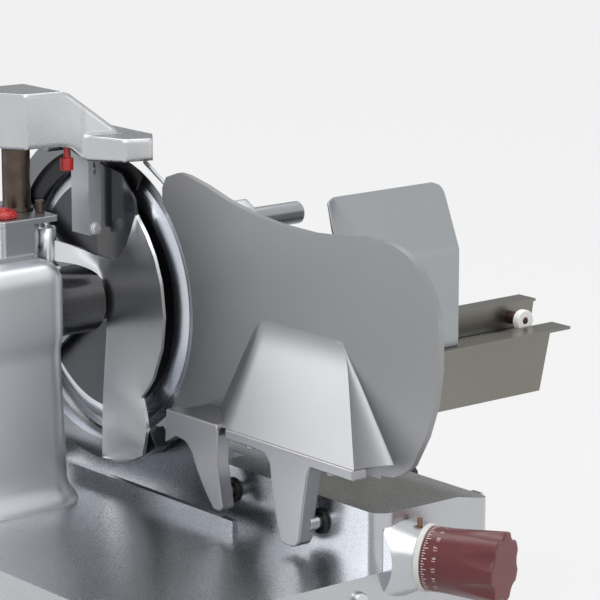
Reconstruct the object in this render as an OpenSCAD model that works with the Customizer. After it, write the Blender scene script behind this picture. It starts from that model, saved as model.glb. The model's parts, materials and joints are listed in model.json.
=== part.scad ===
// Vertical meat slicer. X runs across the machine along the knife's axis, the operator stands at -Y.
// Inside place() the knife's rear plane is x = 0, its axis is y = 0 and the ground is z = 0.

/* [Knife] */
// Diameter of the round knife
knife_d = 350; // [342:1:352]
// Height of the knife's axis above the ground
knife_z = 345; // [344:1:348]
// Thickness of the knife's hub disc
knife_t = 4; // [3:0.5:4.5]
// Radius of the fixed disc that covers the knife on the meat side
cover_r = 138; // [120:1:138]
// Radius of the hollow knife shaft
shaft_r = 12.5; // [11:0.5:14]
// Radius of the tie rod that pulls the cover disc on
tie_r = 5; // [4:0.5:6]
// Radial width of the ring guard
ring_w = 25; // [18:1:25]

/* [Base] */
// Height of the rubber feet
foot_h = 28; // [24:1:32]
// Height of the low receiving deck
deck_z = 123; // [118:1:124]
// Height of the block that carries the gauge
block_z = 189; // [186:1:191]
// Wall of the base casting
base_wall = 7; // [6:0.5:8]
// Distance from the knife's plane to the left end of the base
base_left = 345; // [342:1:370]
// Distance from the knife's plane to the right side of the base
base_right = 147; // [143:1:148]
// Distance from the knife's axis to the front of the base
base_front = 538; // [534:1:540]
// Distance from the knife's axis to the back of the base
base_back = 190; // [186:1:210]

/* [Column] */
// Width of the column across the machine
column_w = 217; // [212:1:222]
// Gap between the knife's plane and the column
column_gap = 118; // [117:0.5:119]
// Distance from the knife's axis to the column's front
column_front = 92; // [88:1:95]
// Distance from the knife's axis to the column's back
column_back = 110; // [106:1:120]
// Height of the column above the ground
column_top = 416; // [414:1:417]
// Wall of the column casting
column_wall = 8; // [6:0.5:9]

/* [Gauge] */
// Thickness of the gauge plate
gauge_t = 8; // [6:0.5:9]
// Distance from the knife's axis to the far end of the gauge plate
gauge_reach = 614; // [608:1:620]
// Height of the gauge plate's lower edge below the knife's axis
gauge_drop = 121; // [119:1:122]
// Radius of the two guide shafts
guide_r = 9; // [8:0.5:10]

/* [Knob] */
// Radius of the knob at its outer end
knob_r = 41; // [39:0.5:42]
// Length of the knob
knob_l = 88; // [75:1:92]
// Thickness of the pale collar behind the knob
collar_t = 7; // [5:0.5:8]
// Angle between the knob's axis and the front, seen from above
knob_yaw = 25; // [24:0.5:26]

/* [Carriage] */
// Radius of the carriage rod
rod_r = 10; // [8:0.5:11]
// Length of the product channel
channel_l = 462; // [450:1:480]
// Depth of the channel's near wall
channel_h = 85; // [82:1:88]
// Thickness of the channel's walls
channel_t = 3.5; // [2.5:0.25:4]
// Clear width between the channel's walls
channel_w = 30; // [29:0.5:31]
// Radius of the channel's rollers
roller_r = 13.5; // [12:0.25:14]
// Thickness of the hand guard sheet
guard_t = 3; // [2:0.5:4]
// Radius of the pusher's handle
handle_r = 13.5; // [11:0.5:14]

/* [Sharpener] */
// Radius of the post that carries the sharpener head
post_r = 17; // [14:0.5:18]
// Radius of the two stones
stone_r = 11; // [9:0.5:11.5]

/* [Fits] */
// Radial running clearance of shafts and pins
run_gap = 0.05; // [0.03:0.01:0.08]
// Gap between pieces of different bodies that slide past each other
slip_gap = 0.35; // [0.3:0.05:0.45]

/* [Hidden] */
$fn = 96;

knife_r = knife_d / 2;
rim_r = knife_r - 12;
hollow_r = knife_r - 33;
recess = 4;
hub_r = 32;
hub_t = 10;
hub_screw_r = 2.5;
hub_circle_r = 22;
front_y = -base_front;
left_x = -base_left;
well_floor = deck_z - 18;
block_x = -25;
block_back_y = -248;
well_x0 = -54;
well_x1 = 14;
ridge_w = 8;
ridge_h = 16;
strip_w = 56;
strip_drop = 12;
corner_r = 22;
cover_t = 3;
button_r = 9;
buttons = [[-54, knife_z - 247], [-104, knife_z - 269]];
inlet_x = left_x + 90;
inlet_z = 75;

col_x1 = -column_gap;
col_x0 = col_x1 - column_w;
col_y0 = -column_front;

belt_x1 = col_x1 - column_wall - 6;
belt_x0 = belt_x1 - 16;
belt_t = 4;
pulley_r = 44;
motor_pulley_r = 20;
motor_z = 184;
motor_r = 48;
motor_x0 = col_x0 + column_wall + 6;
motor_x1 = belt_x0 - 26;
motor_shaft_r = 8;

housing_r = 42;
housing_x1 = -36;
bearing_r = 26;
bearing_w = 12;
bearing_xs = [col_x1 - column_wall + 2, housing_x1 - bearing_w - 2];
flange_r = 47;
collar_hub_r = 27;
ring_r0 = knife_r + 6;
ring_r1 = ring_r0 + ring_w;
ring_x0 = -20;
ring_x1 = 2;
ring_a0 = -125.2;
ring_a1 = 74;
tie_x0 = col_x0 - 24;

hinge_x = -91;
hinge_y = 6;
hinge_r = 13;
hinge_z0 = knife_z + 47;
hinge_z1 = hinge_z0 + 48;
hinge_pin_r = 5;
arm_low_z = knife_z + housing_r + 14;
deflector_x = -31;
deflector_t = 5;
deflector_r = 150;

shaft_ys = [-276, -437];
shaft_z = knife_z - 185;
leg_x0 = -64;
leg_t = 18;
shaft_end_x = 64;
gauge_arc_r = knife_r + 3;
bolt_ys = [-318, -372, -456];

knob_x = 34;
knob_y = front_y - 16.5;
knob_z = knife_z - 212;
collar_r = 38.5;
boss_r = 35;
boss_l = 38;
boss_flare = 18;
cam_r = 20;
cam_t = 6;
cam_s = 70;
cam_shaft_r = 8;
socket_l = 40;
skirt_l = 22;
flute_r = 20;

rod_x = base_right + 32;
rod_z = 140;
lug_ys = [-466, base_back - 24];
slider_w = 48;
slider_y0 = -240;
slider_y1 = -120;
slider_y = (slider_y0 + slider_y1) / 2;
slider_z0 = rod_z - 22;
slider_z1 = rod_z + 20;
rail_z = 72;
rail_w = 18;
axle_r = 4;
guide_roller_r = 12;
guide_roller_z = rail_z - guide_roller_r - 0.1;
arm_z1 = 186;
arm_y0 = -304;
arm_cover_t = 14;

channel_x = 8;
channel_x1 = channel_x + channel_l;
channel_z1 = knife_z - 52;
channel_z0 = channel_z1 - channel_h;
channel_y0 = -299;
channel_y1 = channel_y0 + channel_w + 2 * channel_t;
far_z1 = channel_z1 + 25;
near_flange = 30;
far_flange = 27;
end_slant = 20;
roller_w = 10;
roller_z = knife_z - 45;
outer_x = channel_x1 - 44;
inner_x = outer_x - 126;
roller_y0 = channel_y0 + channel_t + 1.5;
sled_y0 = channel_y0 + channel_t + 2.5;
sled_y1 = channel_y1 - channel_t - 2.5;
sled_z1 = roller_z - roller_r - slip_gap;
sled_t = 20;
sled_x0 = channel_x + 12;
sled_l = 420;
table_z = knife_z - 110;
table_t = 6;
table_x0 = channel_x + 5;
table_l = 303;
table_back = -14;
guard_y = channel_y0 - 18;
guard_x0 = channel_x + 104;
guard_l = 180;
handle_y = -200;
handle_z = knife_z + 115;
arm_x0 = channel_x + 20;
arm_w = 30;

head_base_z = column_top + 5;
head_base_top = knife_z + 118;
post_x = -126;
post_y = 14;
head_z = knife_z + 177;
head_top = knife_z + 262;
skin = 6;
strip_x = -50;
strip_y = -28;
strip_t = 3;
stone_y = -50;
stone_z = knife_z + 184;
spindle_r = 3;
web_x0 = -10;
web_x1 = 4;
plunger_x = -74;
plunger_y = -18;
lever_y = -65;
lever_z = knife_z + 190;
lock_x = -167;
lock_y = -18;
lock_pin_r = 5;

origin_x = (tie_x0 - 8 + channel_x1) / 2;
knob_tip_y = knob_y - (collar_t / 2 + knob_l) * cos(knob_yaw) - knob_r * sin(knob_yaw);
origin_y = (ring_r1 + knob_tip_y) / 2;

function arc(r, a0, a1, n, cy = 0, cz = 0) =
    [for (i = [0 : n]) let (a = a0 + (a1 - a0) * i / n) [cy + r * cos(a), cz + r * sin(a)]];

module place() translate([-origin_x, -origin_y, 0]) children();

module box(x0, x1, y0, y1, z0, z1) translate([x0, y0, z0]) cube([x1 - x0, y1 - y0, z1 - z0]);

module x_cyl(r, x0, x1, y, z) translate([x0, y, z]) rotate([0, 90, 0]) cylinder(r = r, h = x1 - x0);

module y_cyl(r, y0, y1, x, z) translate([x, y1, z]) rotate([90, 0, 0]) cylinder(r = r, h = y1 - y0);

module z_cyl(r, x, y, z0, z1) translate([x, y, z0]) cylinder(r = r, h = z1 - z0);

// Box with four round upright corners
module round_box(x0, x1, y0, y1, z0, z1, r) translate([0, 0, z0]) linear_extrude(z1 - z0) {
    translate([x0 + r, y0]) square([x1 - x0 - 2 * r, y1 - y0]);
    translate([x0, y0 + r]) square([x1 - x0, y1 - y0 - 2 * r]);
    for (x = [x0 + r, x1 - r], y = [y0 + r, y1 - r]) translate([x, y]) circle(r = r);
}

// Outline in the Y-Z plane, extruded along X
module yz_plate(x0, x1) translate([x0, 0, 0]) rotate([90, 0, 90]) linear_extrude(x1 - x0) children();

// The same with the outline drawn about the knife's axis
module knife_plate(x0, x1) translate([0, 0, knife_z]) yz_plate(x0, x1) children();

// Outline in the X-Z plane, extruded along Y
module xz_plate(y0, y1) translate([0, y1, 0]) rotate([90, 0, 0]) linear_extrude(y1 - y0) children();

// Frame on the knob's axis: Z points out of the machine, X to the right, Y up
module on_knob() translate([knob_x, knob_y, knob_z]) rotate([90, 0, knob_yaw]) children();

// Form of the base, g inside its skin: low deck on the left, high block on the right
module base_form(g, z0) {
    round_box(left_x + g, block_x + 60, front_y + g, base_back - g, z0, deck_z - g, corner_r - g);
    round_box(block_x + g, base_right - g, front_y + g, base_back - g, z0, deck_z - g, corner_r - g);
    round_box(block_x + g, base_right - g, front_y + g, block_back_y - g, z0, block_z - g, corner_r - g);
    round_box(well_x1 + g, base_right - g, front_y + 80, base_back - g, z0, block_z - g, corner_r - g);
}

module well(g) box(well_x0 - g, well_x1 + g, block_back_y - g, base_back - 24 + g, well_floor - g, block_z + 1);

module right_slope() xz_plate(front_y - 1, base_back + 1) polygon([[base_right - strip_w, block_z],
    [base_right - strip_w, block_z + 1], [base_right + 1, block_z + 1],
    [base_right + 1, block_z - strip_drop]]);

module boss_cone() on_knob() translate([0, 0, -boss_l])
    cylinder(r1 = boss_r + boss_flare, r2 = boss_r, h = boss_l - collar_t / 2);

// Swelling of the front that carries the knob, kept inside the block's sides
module knob_boss() intersection() {
    boss_cone();
    box(block_x + base_wall, base_right - strip_w, front_y - 60, front_y + base_wall, deck_z - 60, block_z - 4);
}

module base_casting() place() color("#b9bbbd") difference() {
    union() {
        difference() {
            base_form(0, foot_h);
            difference() {
                base_form(base_wall, foot_h - 1);
                well(base_wall);
                box(base_right - strip_w - 4, base_right, front_y, base_back,
                    block_z - strip_drop - base_wall, block_z);
            }
            well(0);
            right_slope();
        }
        box(well_x0 - ridge_w, well_x0, -322, base_back - 22, deck_z - 1, deck_z + ridge_h);
        knob_boss();
        for (y = shaft_ys) x_cyl(guide_r + 8, block_x + 1, block_x + 30, y, shaft_z);
        for (y = lug_ys) box(base_right - 1, rod_x + 18, y, y + 16, rod_z - 18, rod_z + 18);
        box(base_right - 1, base_right + rail_w, lug_ys[0] + 20, lug_ys[1] - 10, rail_z, rail_z + 8);
    }
    on_knob() translate([0, 0, -boss_l - 1]) cylinder(r = cam_shaft_r + run_gap, h = boss_l + 2);
    for (y = shaft_ys) x_cyl(guide_r + run_gap, block_x - 1, block_x + 31, y, shaft_z);
    on_knob() translate([0, 0, -collar_t / 2]) cylinder(r = collar_r + slip_gap, h = 30);
    for (y = lug_ys) y_cyl(rod_r, y - 1, y + 17, rod_x, rod_z);
    y_cyl(button_r + 2, base_back - base_wall - 1, base_back + 1, inlet_x, inlet_z);
    for (b = buttons) y_cyl(button_r + slip_gap, front_y - 1, front_y + base_wall + 1, b[0], b[1]);
}

module bottom_cover() place() color("#8c8e90") difference() {
    round_box(left_x + base_wall, base_right - base_wall, front_y + base_wall, base_back - base_wall,
        foot_h + 2, foot_h + 2 + cover_t, corner_r - base_wall);
    for (i = [0 : 7]) box(left_x + 60, left_x + 120, 14 * i - 60, 14 * i - 54, foot_h, foot_h + 8);
}

module feet() place() color("#2b2b2c")
    for (x = [left_x + 34, base_right - 34], y = [front_y + 34, base_back - 34]) {
        z_cyl(19, x, y, 0, 12);
        z_cyl(15, x, y, 12, foot_h + 2);
    }

module power_inlet() place() color("#26272a") difference() {
    union() {
        y_cyl(button_r + 2, base_back - base_wall - 4, base_back, inlet_x, inlet_z);
        y_cyl(16, base_back, base_back + 5, inlet_x, inlet_z);
        y_cyl(button_r + 2, base_back + 5, base_back + 14, inlet_x, inlet_z);
    }
    y_cyl(4.5, base_back - 20, base_back + 15, inlet_x, inlet_z);
}

module push_button(b) place() {
    y_cyl(button_r, front_y - 6, front_y + base_wall + 3, b[0], b[1]);
    y_cyl(button_r + 3, front_y + base_wall + slip_gap, front_y + base_wall + 3, b[0], b[1]);
}

module start_button() color("#d6d7d8") push_button(buttons[0]);

module stop_button() color("#a8242a") push_button(buttons[1]);

module column() place() color("#b4b6b8") difference() {
    union() {
        round_box(col_x0, col_x1, col_y0, column_back, deck_z, column_top, 30);
        round_box(col_x0 - 10, col_x1 + 10, col_y0 - 10, column_back + 10, deck_z, deck_z + 9, 38);
    }
    round_box(col_x0 + column_wall, col_x1 - column_wall, col_y0 + column_wall, column_back - column_wall,
        deck_z - 1, column_top - column_wall, 22);
    x_cyl(housing_r, col_x1 - column_wall - 1, col_x1 + 1, 0, knife_z);
    x_cyl(tie_r, col_x0 - 1, col_x0 + column_wall + 1, 0, knife_z);
}

module motor() place() color("#3b4148") difference() {
    union() {
        x_cyl(motor_r, motor_x0, motor_x1 - 8, 0, motor_z);
        x_cyl(motor_r - 12, motor_x1 - 8, motor_x1, 0, motor_z);
        for (a = [0 : 60 : 300]) translate([0, 0, motor_z]) rotate([a, 0, 0])
            box(motor_x0 + 14, motor_x1 - 22, -4, 4, motor_r - 2, motor_r + 4);
        box(motor_x0 + 20, motor_x1 - 20, -40, 40, deck_z, motor_z - 30);
    }
    x_cyl(motor_shaft_r + run_gap, motor_x1 - 24, motor_x1 + 1, 0, motor_z);
}

module motor_shaft() place() color("#c3c5c7")
    x_cyl(motor_shaft_r, motor_x1 - 23, belt_x1 + 2, 0, motor_z);

module belt_pulley(r, bore, z) place() difference() {
    union() {
        x_cyl(r, belt_x0, belt_x1, 0, z);
        x_cyl(r + 3, belt_x0 - 2, belt_x0, 0, z);
        x_cyl(r + 3, belt_x1, belt_x1 + 2, 0, z);
    }
    x_cyl(bore, belt_x0 - 3, belt_x1 + 3, 0, z);
}

module motor_pulley() color("#8f9295") belt_pulley(motor_pulley_r, motor_shaft_r, motor_z);

module knife_pulley() color("#8f9295") belt_pulley(pulley_r, shaft_r, knife_z);

// Loop round both pulleys, g outside their rims
module belt_loop(g) {
    lean = asin((pulley_r - motor_pulley_r) / (knife_z - motor_z));
    polygon(concat(arc(pulley_r + g, -lean, 180 + lean, 40),
        arc(motor_pulley_r + g, 180 + lean, 360 - lean, 32, 0, motor_z - knife_z)));
}

module drive_belt() place() color("#1f2022") knife_plate(belt_x0 + slip_gap, belt_x1 - slip_gap) difference() {
    belt_loop(slip_gap + belt_t);
    belt_loop(slip_gap);
}

module hub_holes(depth) for (a = [45 : 90 : 315]) translate([0, 0, knife_z]) rotate([a, 0, 0])
    x_cyl(hub_screw_r, -recess - knife_t - depth, -recess + 1, 0, hub_circle_r);

module knife_shaft() place() color("#c9cbcd") difference() {
    union() {
        x_cyl(shaft_r, belt_x0 - 2, -recess - knife_t - hub_t, 0, knife_z);
        x_cyl(hub_r, -recess - knife_t - hub_t, -recess - knife_t, 0, knife_z);
    }
    x_cyl(tie_r + 1.2, belt_x0 - 3, 0, 0, knife_z);
    hub_holes(hub_t - 2);
}

module hub_housing() place() color("#2c2e31") difference() {
    union() {
        x_cyl(housing_r, col_x1 - column_wall, housing_x1, 0, knife_z);
        x_cyl(flange_r, col_x1, col_x1 + 12, 0, knife_z);
    }
    x_cyl(shaft_r + 3, col_x1 - column_wall - 1, housing_x1 + 1, 0, knife_z);
    x_cyl(bearing_r, bearing_xs[1], bearing_xs[1] + bearing_w, 0, knife_z);
    x_cyl(bearing_r, col_x1 - column_wall - 1, bearing_xs[0] + bearing_w, 0, knife_z);
}

module bearings() place() color("#d0d2d4") for (x = bearing_xs) difference() {
    x_cyl(bearing_r, x, x + bearing_w, 0, knife_z);
    x_cyl(shaft_r + run_gap, x - 1, x + bearing_w + 1, 0, knife_z);
}

// Hub disc, hollow band and bevel, turned about the knife's axis
module knife() place() color("#dfe1e3") difference() {
    translate([0, 0, knife_z]) rotate([0, 90, 0]) rotate_extrude() polygon([
        [tie_r + 3, -recess - knife_t], [hollow_r, -recess - knife_t], [rim_r, -6], [knife_r, -0.4],
        [knife_r, 0], [hollow_r + 1, 0], [hollow_r - 1, -recess], [tie_r + 3, -recess]]);
    hub_holes(hub_t);
}

module knife_screws() place() color("#b0b2b4") for (a = [45 : 90 : 315])
    translate([0, 0, knife_z]) rotate([a, 0, 0]) {
        x_cyl(hub_screw_r, -recess - knife_t - hub_t + 2, -recess, 0, hub_circle_r);
        x_cyl(hub_screw_r + 2, -recess, -recess + 1.6, 0, hub_circle_r);
    }

// The ring leaves the cutting side free, from the lower front round the back to the top
module ring_guard() place() color("#c4c6c8") {
    knife_plate(ring_x0, ring_x1)
        polygon(concat(arc(ring_r1, ring_a0, ring_a1, 72), arc(ring_r0, ring_a1, ring_a0, 72)));
    for (a = [-38, 30]) knife_plate(ring_x0 - 5, ring_x0 + 0.5) rotate(a)
        translate([shaft_r + 8, -14]) square([ring_r0 + 12 - shaft_r - 8, 28]);
    difference() {
        x_cyl(collar_hub_r, housing_x1, ring_x0 + 0.5, 0, knife_z);
        x_cyl(shaft_r + 3, housing_x1 - 1, ring_x0 + 1, 0, knife_z);
    }
}

// Dark pad behind the deflector that shields the knife's upper front
module guard_pad() place() color("#22262e") knife_plate(ring_x0 - 4, ring_x0) difference() {
    polygon([[-36, 44], [-22, 12], [-6, 20], [-8, 60], [6, 150], [-10, 168], [-58, 161], [-84, 134],
        [-92, 100], [-80, 66], [-58, 46]]);
    circle(r = collar_hub_r);
}

module cover_disc() place() color("#c9cbcd") difference() {
    x_cyl(cover_r, -recess + 2.4, 0.8, 0, knife_z);
    x_cyl(tie_r - 1, -recess, -0.6, 0, knife_z);
}

module tie_rod() place() color("#b8babc") {
    x_cyl(tie_r, tie_x0, -recess + 2.4, 0, knife_z);
    x_cyl(tie_r - 1, -recess + 2.3, -0.6, 0, knife_z);
}

module tie_knob() place() color("#1d1e20") difference() {
    union() {
        x_cyl(22, tie_x0 - 8, tie_x0 + 14, 0, knife_z);
        x_cyl(14, tie_x0 + 13, col_x0 - slip_gap, 0, knife_z);
    }
    x_cyl(tie_r + run_gap, tie_x0 - slip_gap, col_x0 + 1, 0, knife_z);
}

// Plate beside the knife: an arc follows the edge, a foot reaches down over the ring's end
module deflector_outline() polygon(concat([[-96, 115]], arc(deflector_r, 136, 226, 30),
    [[-121, -142], [-116, -177], [-20, -200], [-24, -120], [-34, -30], [-36, 20], [-50, 54], [-78, 72]]));

module slice_deflector() place() color("#d2d4d6") difference() {
    union() {
        knife_plate(deflector_x, deflector_x + deflector_t) deflector_outline();
        z_cyl(hinge_r, hinge_x, hinge_y, hinge_z0, hinge_z1);
        hull() {
            box(hinge_x + hinge_r - 4, hinge_x + hinge_r - 2, hinge_y - 5, hinge_y + 3, arm_low_z, hinge_z1 - 3);
            box(deflector_x, deflector_x + deflector_t, -80, -56, knife_z + 23, knife_z + 60);
        }
    }
    z_cyl(hinge_pin_r + run_gap, hinge_x, hinge_y, hinge_z0 - 1, hinge_z1 + 1);
}

module deflector_pin() place() color("#dcdee0") {
    z_cyl(hinge_pin_r, hinge_x, hinge_y, hinge_z0 - 4, hinge_z1 + 3);
    translate([hinge_x, hinge_y, hinge_z1 + 5]) sphere(r = 6.5, $fn = 48);
    difference() {
        box(hinge_x - 14, hinge_x + 13, hinge_y - 13, hinge_y + 11, knife_z + 30, hinge_z0 - slip_gap);
        x_cyl(housing_r, hinge_x - 20, hinge_x + 20, 0, knife_z);
    }
}

gauge_top = [[-128, 164], [-151, 172], [-170, 171], [-205, 164], [-245, 153], [-292, 144], [-345, 139],
    [-400, 138], [-450, 142], [127 - gauge_reach, 147], [99 - gauge_reach, 147]];
gauge_far = [[-gauge_reach, 20], [6 - gauge_reach, -20], [20 - gauge_reach, -58], [42 - gauge_reach, 25 - gauge_drop],
    [58 - gauge_reach, 13 - gauge_drop], [74 - gauge_reach, 6 - gauge_drop]];
wedge_y0 = 94 - gauge_reach;

// Concave arc beside the knife, high shoulder, dip and round far end
module gauge_outline() difference() {
    polygon(concat([[-120, -gauge_drop], [-120, 150]], gauge_top,
        arc(92, 96, 175, 12, 92 - gauge_reach, 55), gauge_far, [[wedge_y0 + 50, -gauge_drop]]));
    circle(r = gauge_arc_r);
}

module gauge_plate() place() color("#88898b") {
    knife_plate(-gauge_t, 0) gauge_outline();
    hull() {
        box(-gauge_t - 38, -gauge_t, wedge_y0, -270, knife_z - gauge_drop, knife_z - gauge_drop + 10);
        box(-gauge_t - 0.5, -gauge_t, wedge_y0 + 64, -296, knife_z + 12, knife_z + 20);
    }
}

module gauge_bracket() place() color("#bfc1c3") difference() {
    union() {
        box(leg_x0, -gauge_t - 2, -478, -245, knife_z - gauge_drop - 16, knife_z - gauge_drop);
        knife_plate(leg_x0, leg_x0 + leg_t) polygon([[-245, -gauge_drop - 1], [-250, -165], [-257, -195],
            [-272, -199], [-288, -196], [-292, -160], [-302, -gauge_drop - 1]]);
        knife_plate(leg_x0, leg_x0 + leg_t) polygon([[-398, -gauge_drop - 1], [-404, -170], [-412, -206],
            [-436, -213], [-458, -208], [-466, -170], [-478, -gauge_drop - 1]]);
    }
    for (y = shaft_ys) x_cyl(guide_r - 1, leg_x0 - 1, leg_x0 + leg_t + 1, y, shaft_z);
}

module bracket_bolts() place() color("#a6a8aa") for (y = bolt_ys)
    translate([-30, y, knife_z - gauge_drop - 21]) cylinder(r = 7, h = 5, $fn = 6);

module guide_shafts() place() color("#cfd1d3") for (y = shaft_ys) {
    x_cyl(guide_r, leg_x0 + leg_t, shaft_end_x, y, shaft_z);
    x_cyl(guide_r - 1, leg_x0 + 1, leg_x0 + leg_t + 1, y, shaft_z);
}

module shaft_seals() place() color("#141414") for (y = shaft_ys) difference() {
    x_cyl(guide_r + 6, block_x - 4, block_x, y, shaft_z);
    x_cyl(guide_r + slip_gap, block_x - 5, block_x + 1, y, shaft_z);
}

module cam_follower() place() color("#8d9093") difference() {
    union() {
        x_cyl(guide_r + 7, shaft_end_x - 28, shaft_end_x - 8, shaft_ys[1], shaft_z);
        box(shaft_end_x - 40, shaft_end_x - 24, shaft_ys[1] - 36, shaft_ys[1] - 4, shaft_z - 30, shaft_z - 6);
        box(shaft_end_x - 30, shaft_end_x - 14, shaft_ys[1] - 12, shaft_ys[1] + 6, shaft_z - 24, shaft_z - 4);
    }
    x_cyl(guide_r, shaft_end_x - 50, shaft_end_x, shaft_ys[1], shaft_z);
}

// Seven shallow flutes that deepen towards the outer end
module thickness_knob() place() color("#7a2b33") on_knob() translate([0, 0, collar_t / 2]) difference() {
    union() {
        cylinder(r = knob_r - 4.5, h = skirt_l);
        translate([0, 0, skirt_l]) cylinder(r1 = knob_r - 4.5, r2 = knob_r, h = knob_l - skirt_l);
    }
    for (a = [0 : 6]) rotate([0, 0, a * 360 / 7]) translate([knob_r + flute_r - 2, 0, skirt_l + 6])
        rotate([0, -3, 0]) cylinder(r = flute_r, h = knob_l);
    translate([0, 0, -1]) cylinder(r = cam_shaft_r, h = socket_l + 1);
}

module collar_ring() place() color("#d9dad8") on_knob() translate([0, 0, -collar_t / 2]) difference() {
    cylinder(r = collar_r, h = collar_t - slip_gap);
    translate([0, 0, -1]) cylinder(r = cam_shaft_r + run_gap, h = collar_t + 2);
}

module index_pin() place() color("#8b5a4a") difference() {
    on_knob() translate([-6, 0, -collar_t / 2 - 5]) rotate([-90, 0, 0]) cylinder(r = 3, h = boss_r + 12);
    boss_cone();
}

module cam_shaft() place() color("#babcbe") on_knob() {
    translate([0, 0, -cam_s]) cylinder(r = cam_shaft_r, h = cam_s + collar_t / 2 + socket_l);
    translate([0, 0, -cam_s - cam_t]) cylinder(r = cam_r, h = cam_t);
}

module carriage_rod() place() color("#d4d6d8")
    y_cyl(rod_r, lug_ys[0] - 4, lug_ys[1] + 20, rod_x, rod_z);

module carriage_slider() place() color("#b2b4b6") {
    difference() {
        union() {
            box(rod_x - slider_w / 2, rod_x + slider_w / 2, slider_y0, slider_y1, slider_z0, slider_z1);
            box(rod_x - 12, rod_x - 2, slider_y - 14, slider_y + 14, guide_roller_z - 10, slider_z0 + 1);
        }
        y_cyl(rod_r + 3, slider_y0 - 1, slider_y1 + 1, rod_x, rod_z);
    }
    x_cyl(axle_r, base_right + 4, rod_x - 11, slider_y, guide_roller_z);
}

module slider_bushes() place() color("#b08d4f") for (y = [slider_y0, slider_y1 - 30]) difference() {
    y_cyl(rod_r + 3, y, y + 30, rod_x, rod_z);
    y_cyl(rod_r + run_gap, y - 1, y + 31, rod_x, rod_z);
}

module guide_roller() place() color("#5b5e62") difference() {
    x_cyl(guide_roller_r, base_right + 5, base_right + 16, slider_y, guide_roller_z);
    x_cyl(axle_r + run_gap, base_right, base_right + 17, slider_y, guide_roller_z);
}

module carriage_arm() place() color("#b9bbbd") {
    round_box(rod_x - 24, rod_x + 40, arm_y0, -130, slider_z1, arm_z1, 8);
    round_box(rod_x - 18, rod_x + 34, channel_y0 - 2, channel_y1 + 14, arm_z1 - 1, channel_z0, 6);
}

// End cap in front of the arm, cut out round the rod
module arm_cover() place() color("#1c1d1f") difference() {
    xz_plate(arm_y0 - arm_cover_t, arm_y0) polygon([[rod_x - rod_r - 2, slider_z0], [rod_x + 48, slider_z0],
        [rod_x + 48, rod_z + 6], [rod_x + 40, rod_z + 18], [rod_x + 28, rod_z + 26],
        [rod_x - rod_r - 2, rod_z + 26]]);
    y_cyl(rod_r + 3, arm_y0 - arm_cover_t - 1, arm_y0 + 1, rod_x, rod_z);
}

module channel_side(x1, z1)
    polygon([[channel_x, channel_z0], [x1 - end_slant, channel_z0], [x1, z1], [channel_x, z1]]);

module product_channel() place() color("#8a8985") difference() {
    union() {
        xz_plate(channel_y0, channel_y0 + channel_t) channel_side(channel_x1 - 3, channel_z1);
        xz_plate(channel_y1 - channel_t, channel_y1) channel_side(channel_x1 - 3, far_z1);
        box(channel_x, channel_x1 - end_slant - 3, channel_y0, channel_y1, channel_z0, channel_z0 + 4);
        box(channel_x, channel_x1, channel_y0 - near_flange, channel_y0 + channel_t,
            channel_z1 - channel_t, channel_z1);
        box(channel_x, channel_x1, channel_y1 - channel_t, channel_y1 + far_flange, far_z1 - channel_t, far_z1);
    }
    for (x = [inner_x, outer_x]) y_cyl(axle_r, channel_y1 - channel_t - 1, channel_y1 + 1, x, roller_z);
}

module product_table() place() color("#c3c5c6") {
    box(table_x0, table_x0 + table_l, channel_y1, table_back, table_z - table_t, table_z);
    box(table_x0 + table_l - 3, table_x0 + table_l, channel_y1, table_back, table_z - 1, table_z + 14);
    for (x = [60, 220]) box(table_x0 + x, table_x0 + x + 8, channel_y1, channel_y1 + 120,
        table_z - table_t - 14, table_z - table_t + 1);
}

// Upright sheet in front of the hand: its upper part leans back, its left edge curls forward
module hand_guard() place() color("#9c9d9e") {
    xz_plate(guard_y, guard_y + guard_t) polygon([[guard_x0, channel_z1], [guard_x0 + guard_l - 10, channel_z1],
        [guard_x0 + guard_l, channel_z1 + 12], [guard_x0 + guard_l, channel_z1 + 120],
        [guard_x0, channel_z1 + 120]]);
    hull() {
        box(guard_x0, guard_x0 + guard_l, guard_y, guard_y + guard_t, channel_z1 + 119, channel_z1 + 120);
        box(guard_x0, guard_x0 + guard_l - 12, guard_y + 20, guard_y + 20 + guard_t,
            channel_z1 + 200, channel_z1 + 202);
    }
    hull() {
        box(guard_x0 - 23, guard_x0 - 21, guard_y - 4, guard_y + 2, channel_z1 + 158, channel_z1 + 198);
        box(guard_x0 - 1, guard_x0 + 1, guard_y + 11, guard_y + 22, channel_z1 + 158, channel_z1 + 200);
    }
}

module channel_roller(x) place() difference() {
    y_cyl(roller_r, roller_y0, roller_y0 + roller_w, x, roller_z);
    y_cyl(axle_r + run_gap, roller_y0 - 1, roller_y0 + roller_w + 1, x, roller_z);
}

module outer_roller() color("#f0f0ee") channel_roller(outer_x);

module inner_roller() color("#f0f0ee") channel_roller(inner_x);

module roller_bolts() place() color("#4b3a33") for (x = [inner_x, outer_x]) {
    y_cyl(axle_r, roller_y0 - slip_gap, channel_y1 + 2, x, roller_z);
    y_cyl(8, roller_y0 + roller_w + slip_gap, channel_y1 - channel_t, x, roller_z);
    y_cyl(7, channel_y1, channel_y1 + 4, x, roller_z);
}

module pusher_sled() place() color("#c0c2c4") {
    box(sled_x0, sled_x0 + sled_l, sled_y0, sled_y1, sled_z1 - sled_t, sled_z1);
    for (x = [10, 150]) box(sled_x0 + x, sled_x0 + x + 60, sled_y0, sled_y1,
        channel_z0 + 4 + slip_gap, sled_z1 - sled_t + 1);
}

module pusher_arm() place() color("#d5d6d7") yz_plate(arm_x0, arm_x0 + arm_w) polygon([
    [sled_y0, sled_z1], [sled_y1, sled_z1], [sled_y1, far_z1 + 16], [handle_y + 15, handle_z - 18],
    [handle_y + 15, handle_z + 20], [handle_y, handle_z + 26], [handle_y - 17, handle_z + 17],
    [sled_y0, far_z1 + 24]]);

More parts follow.
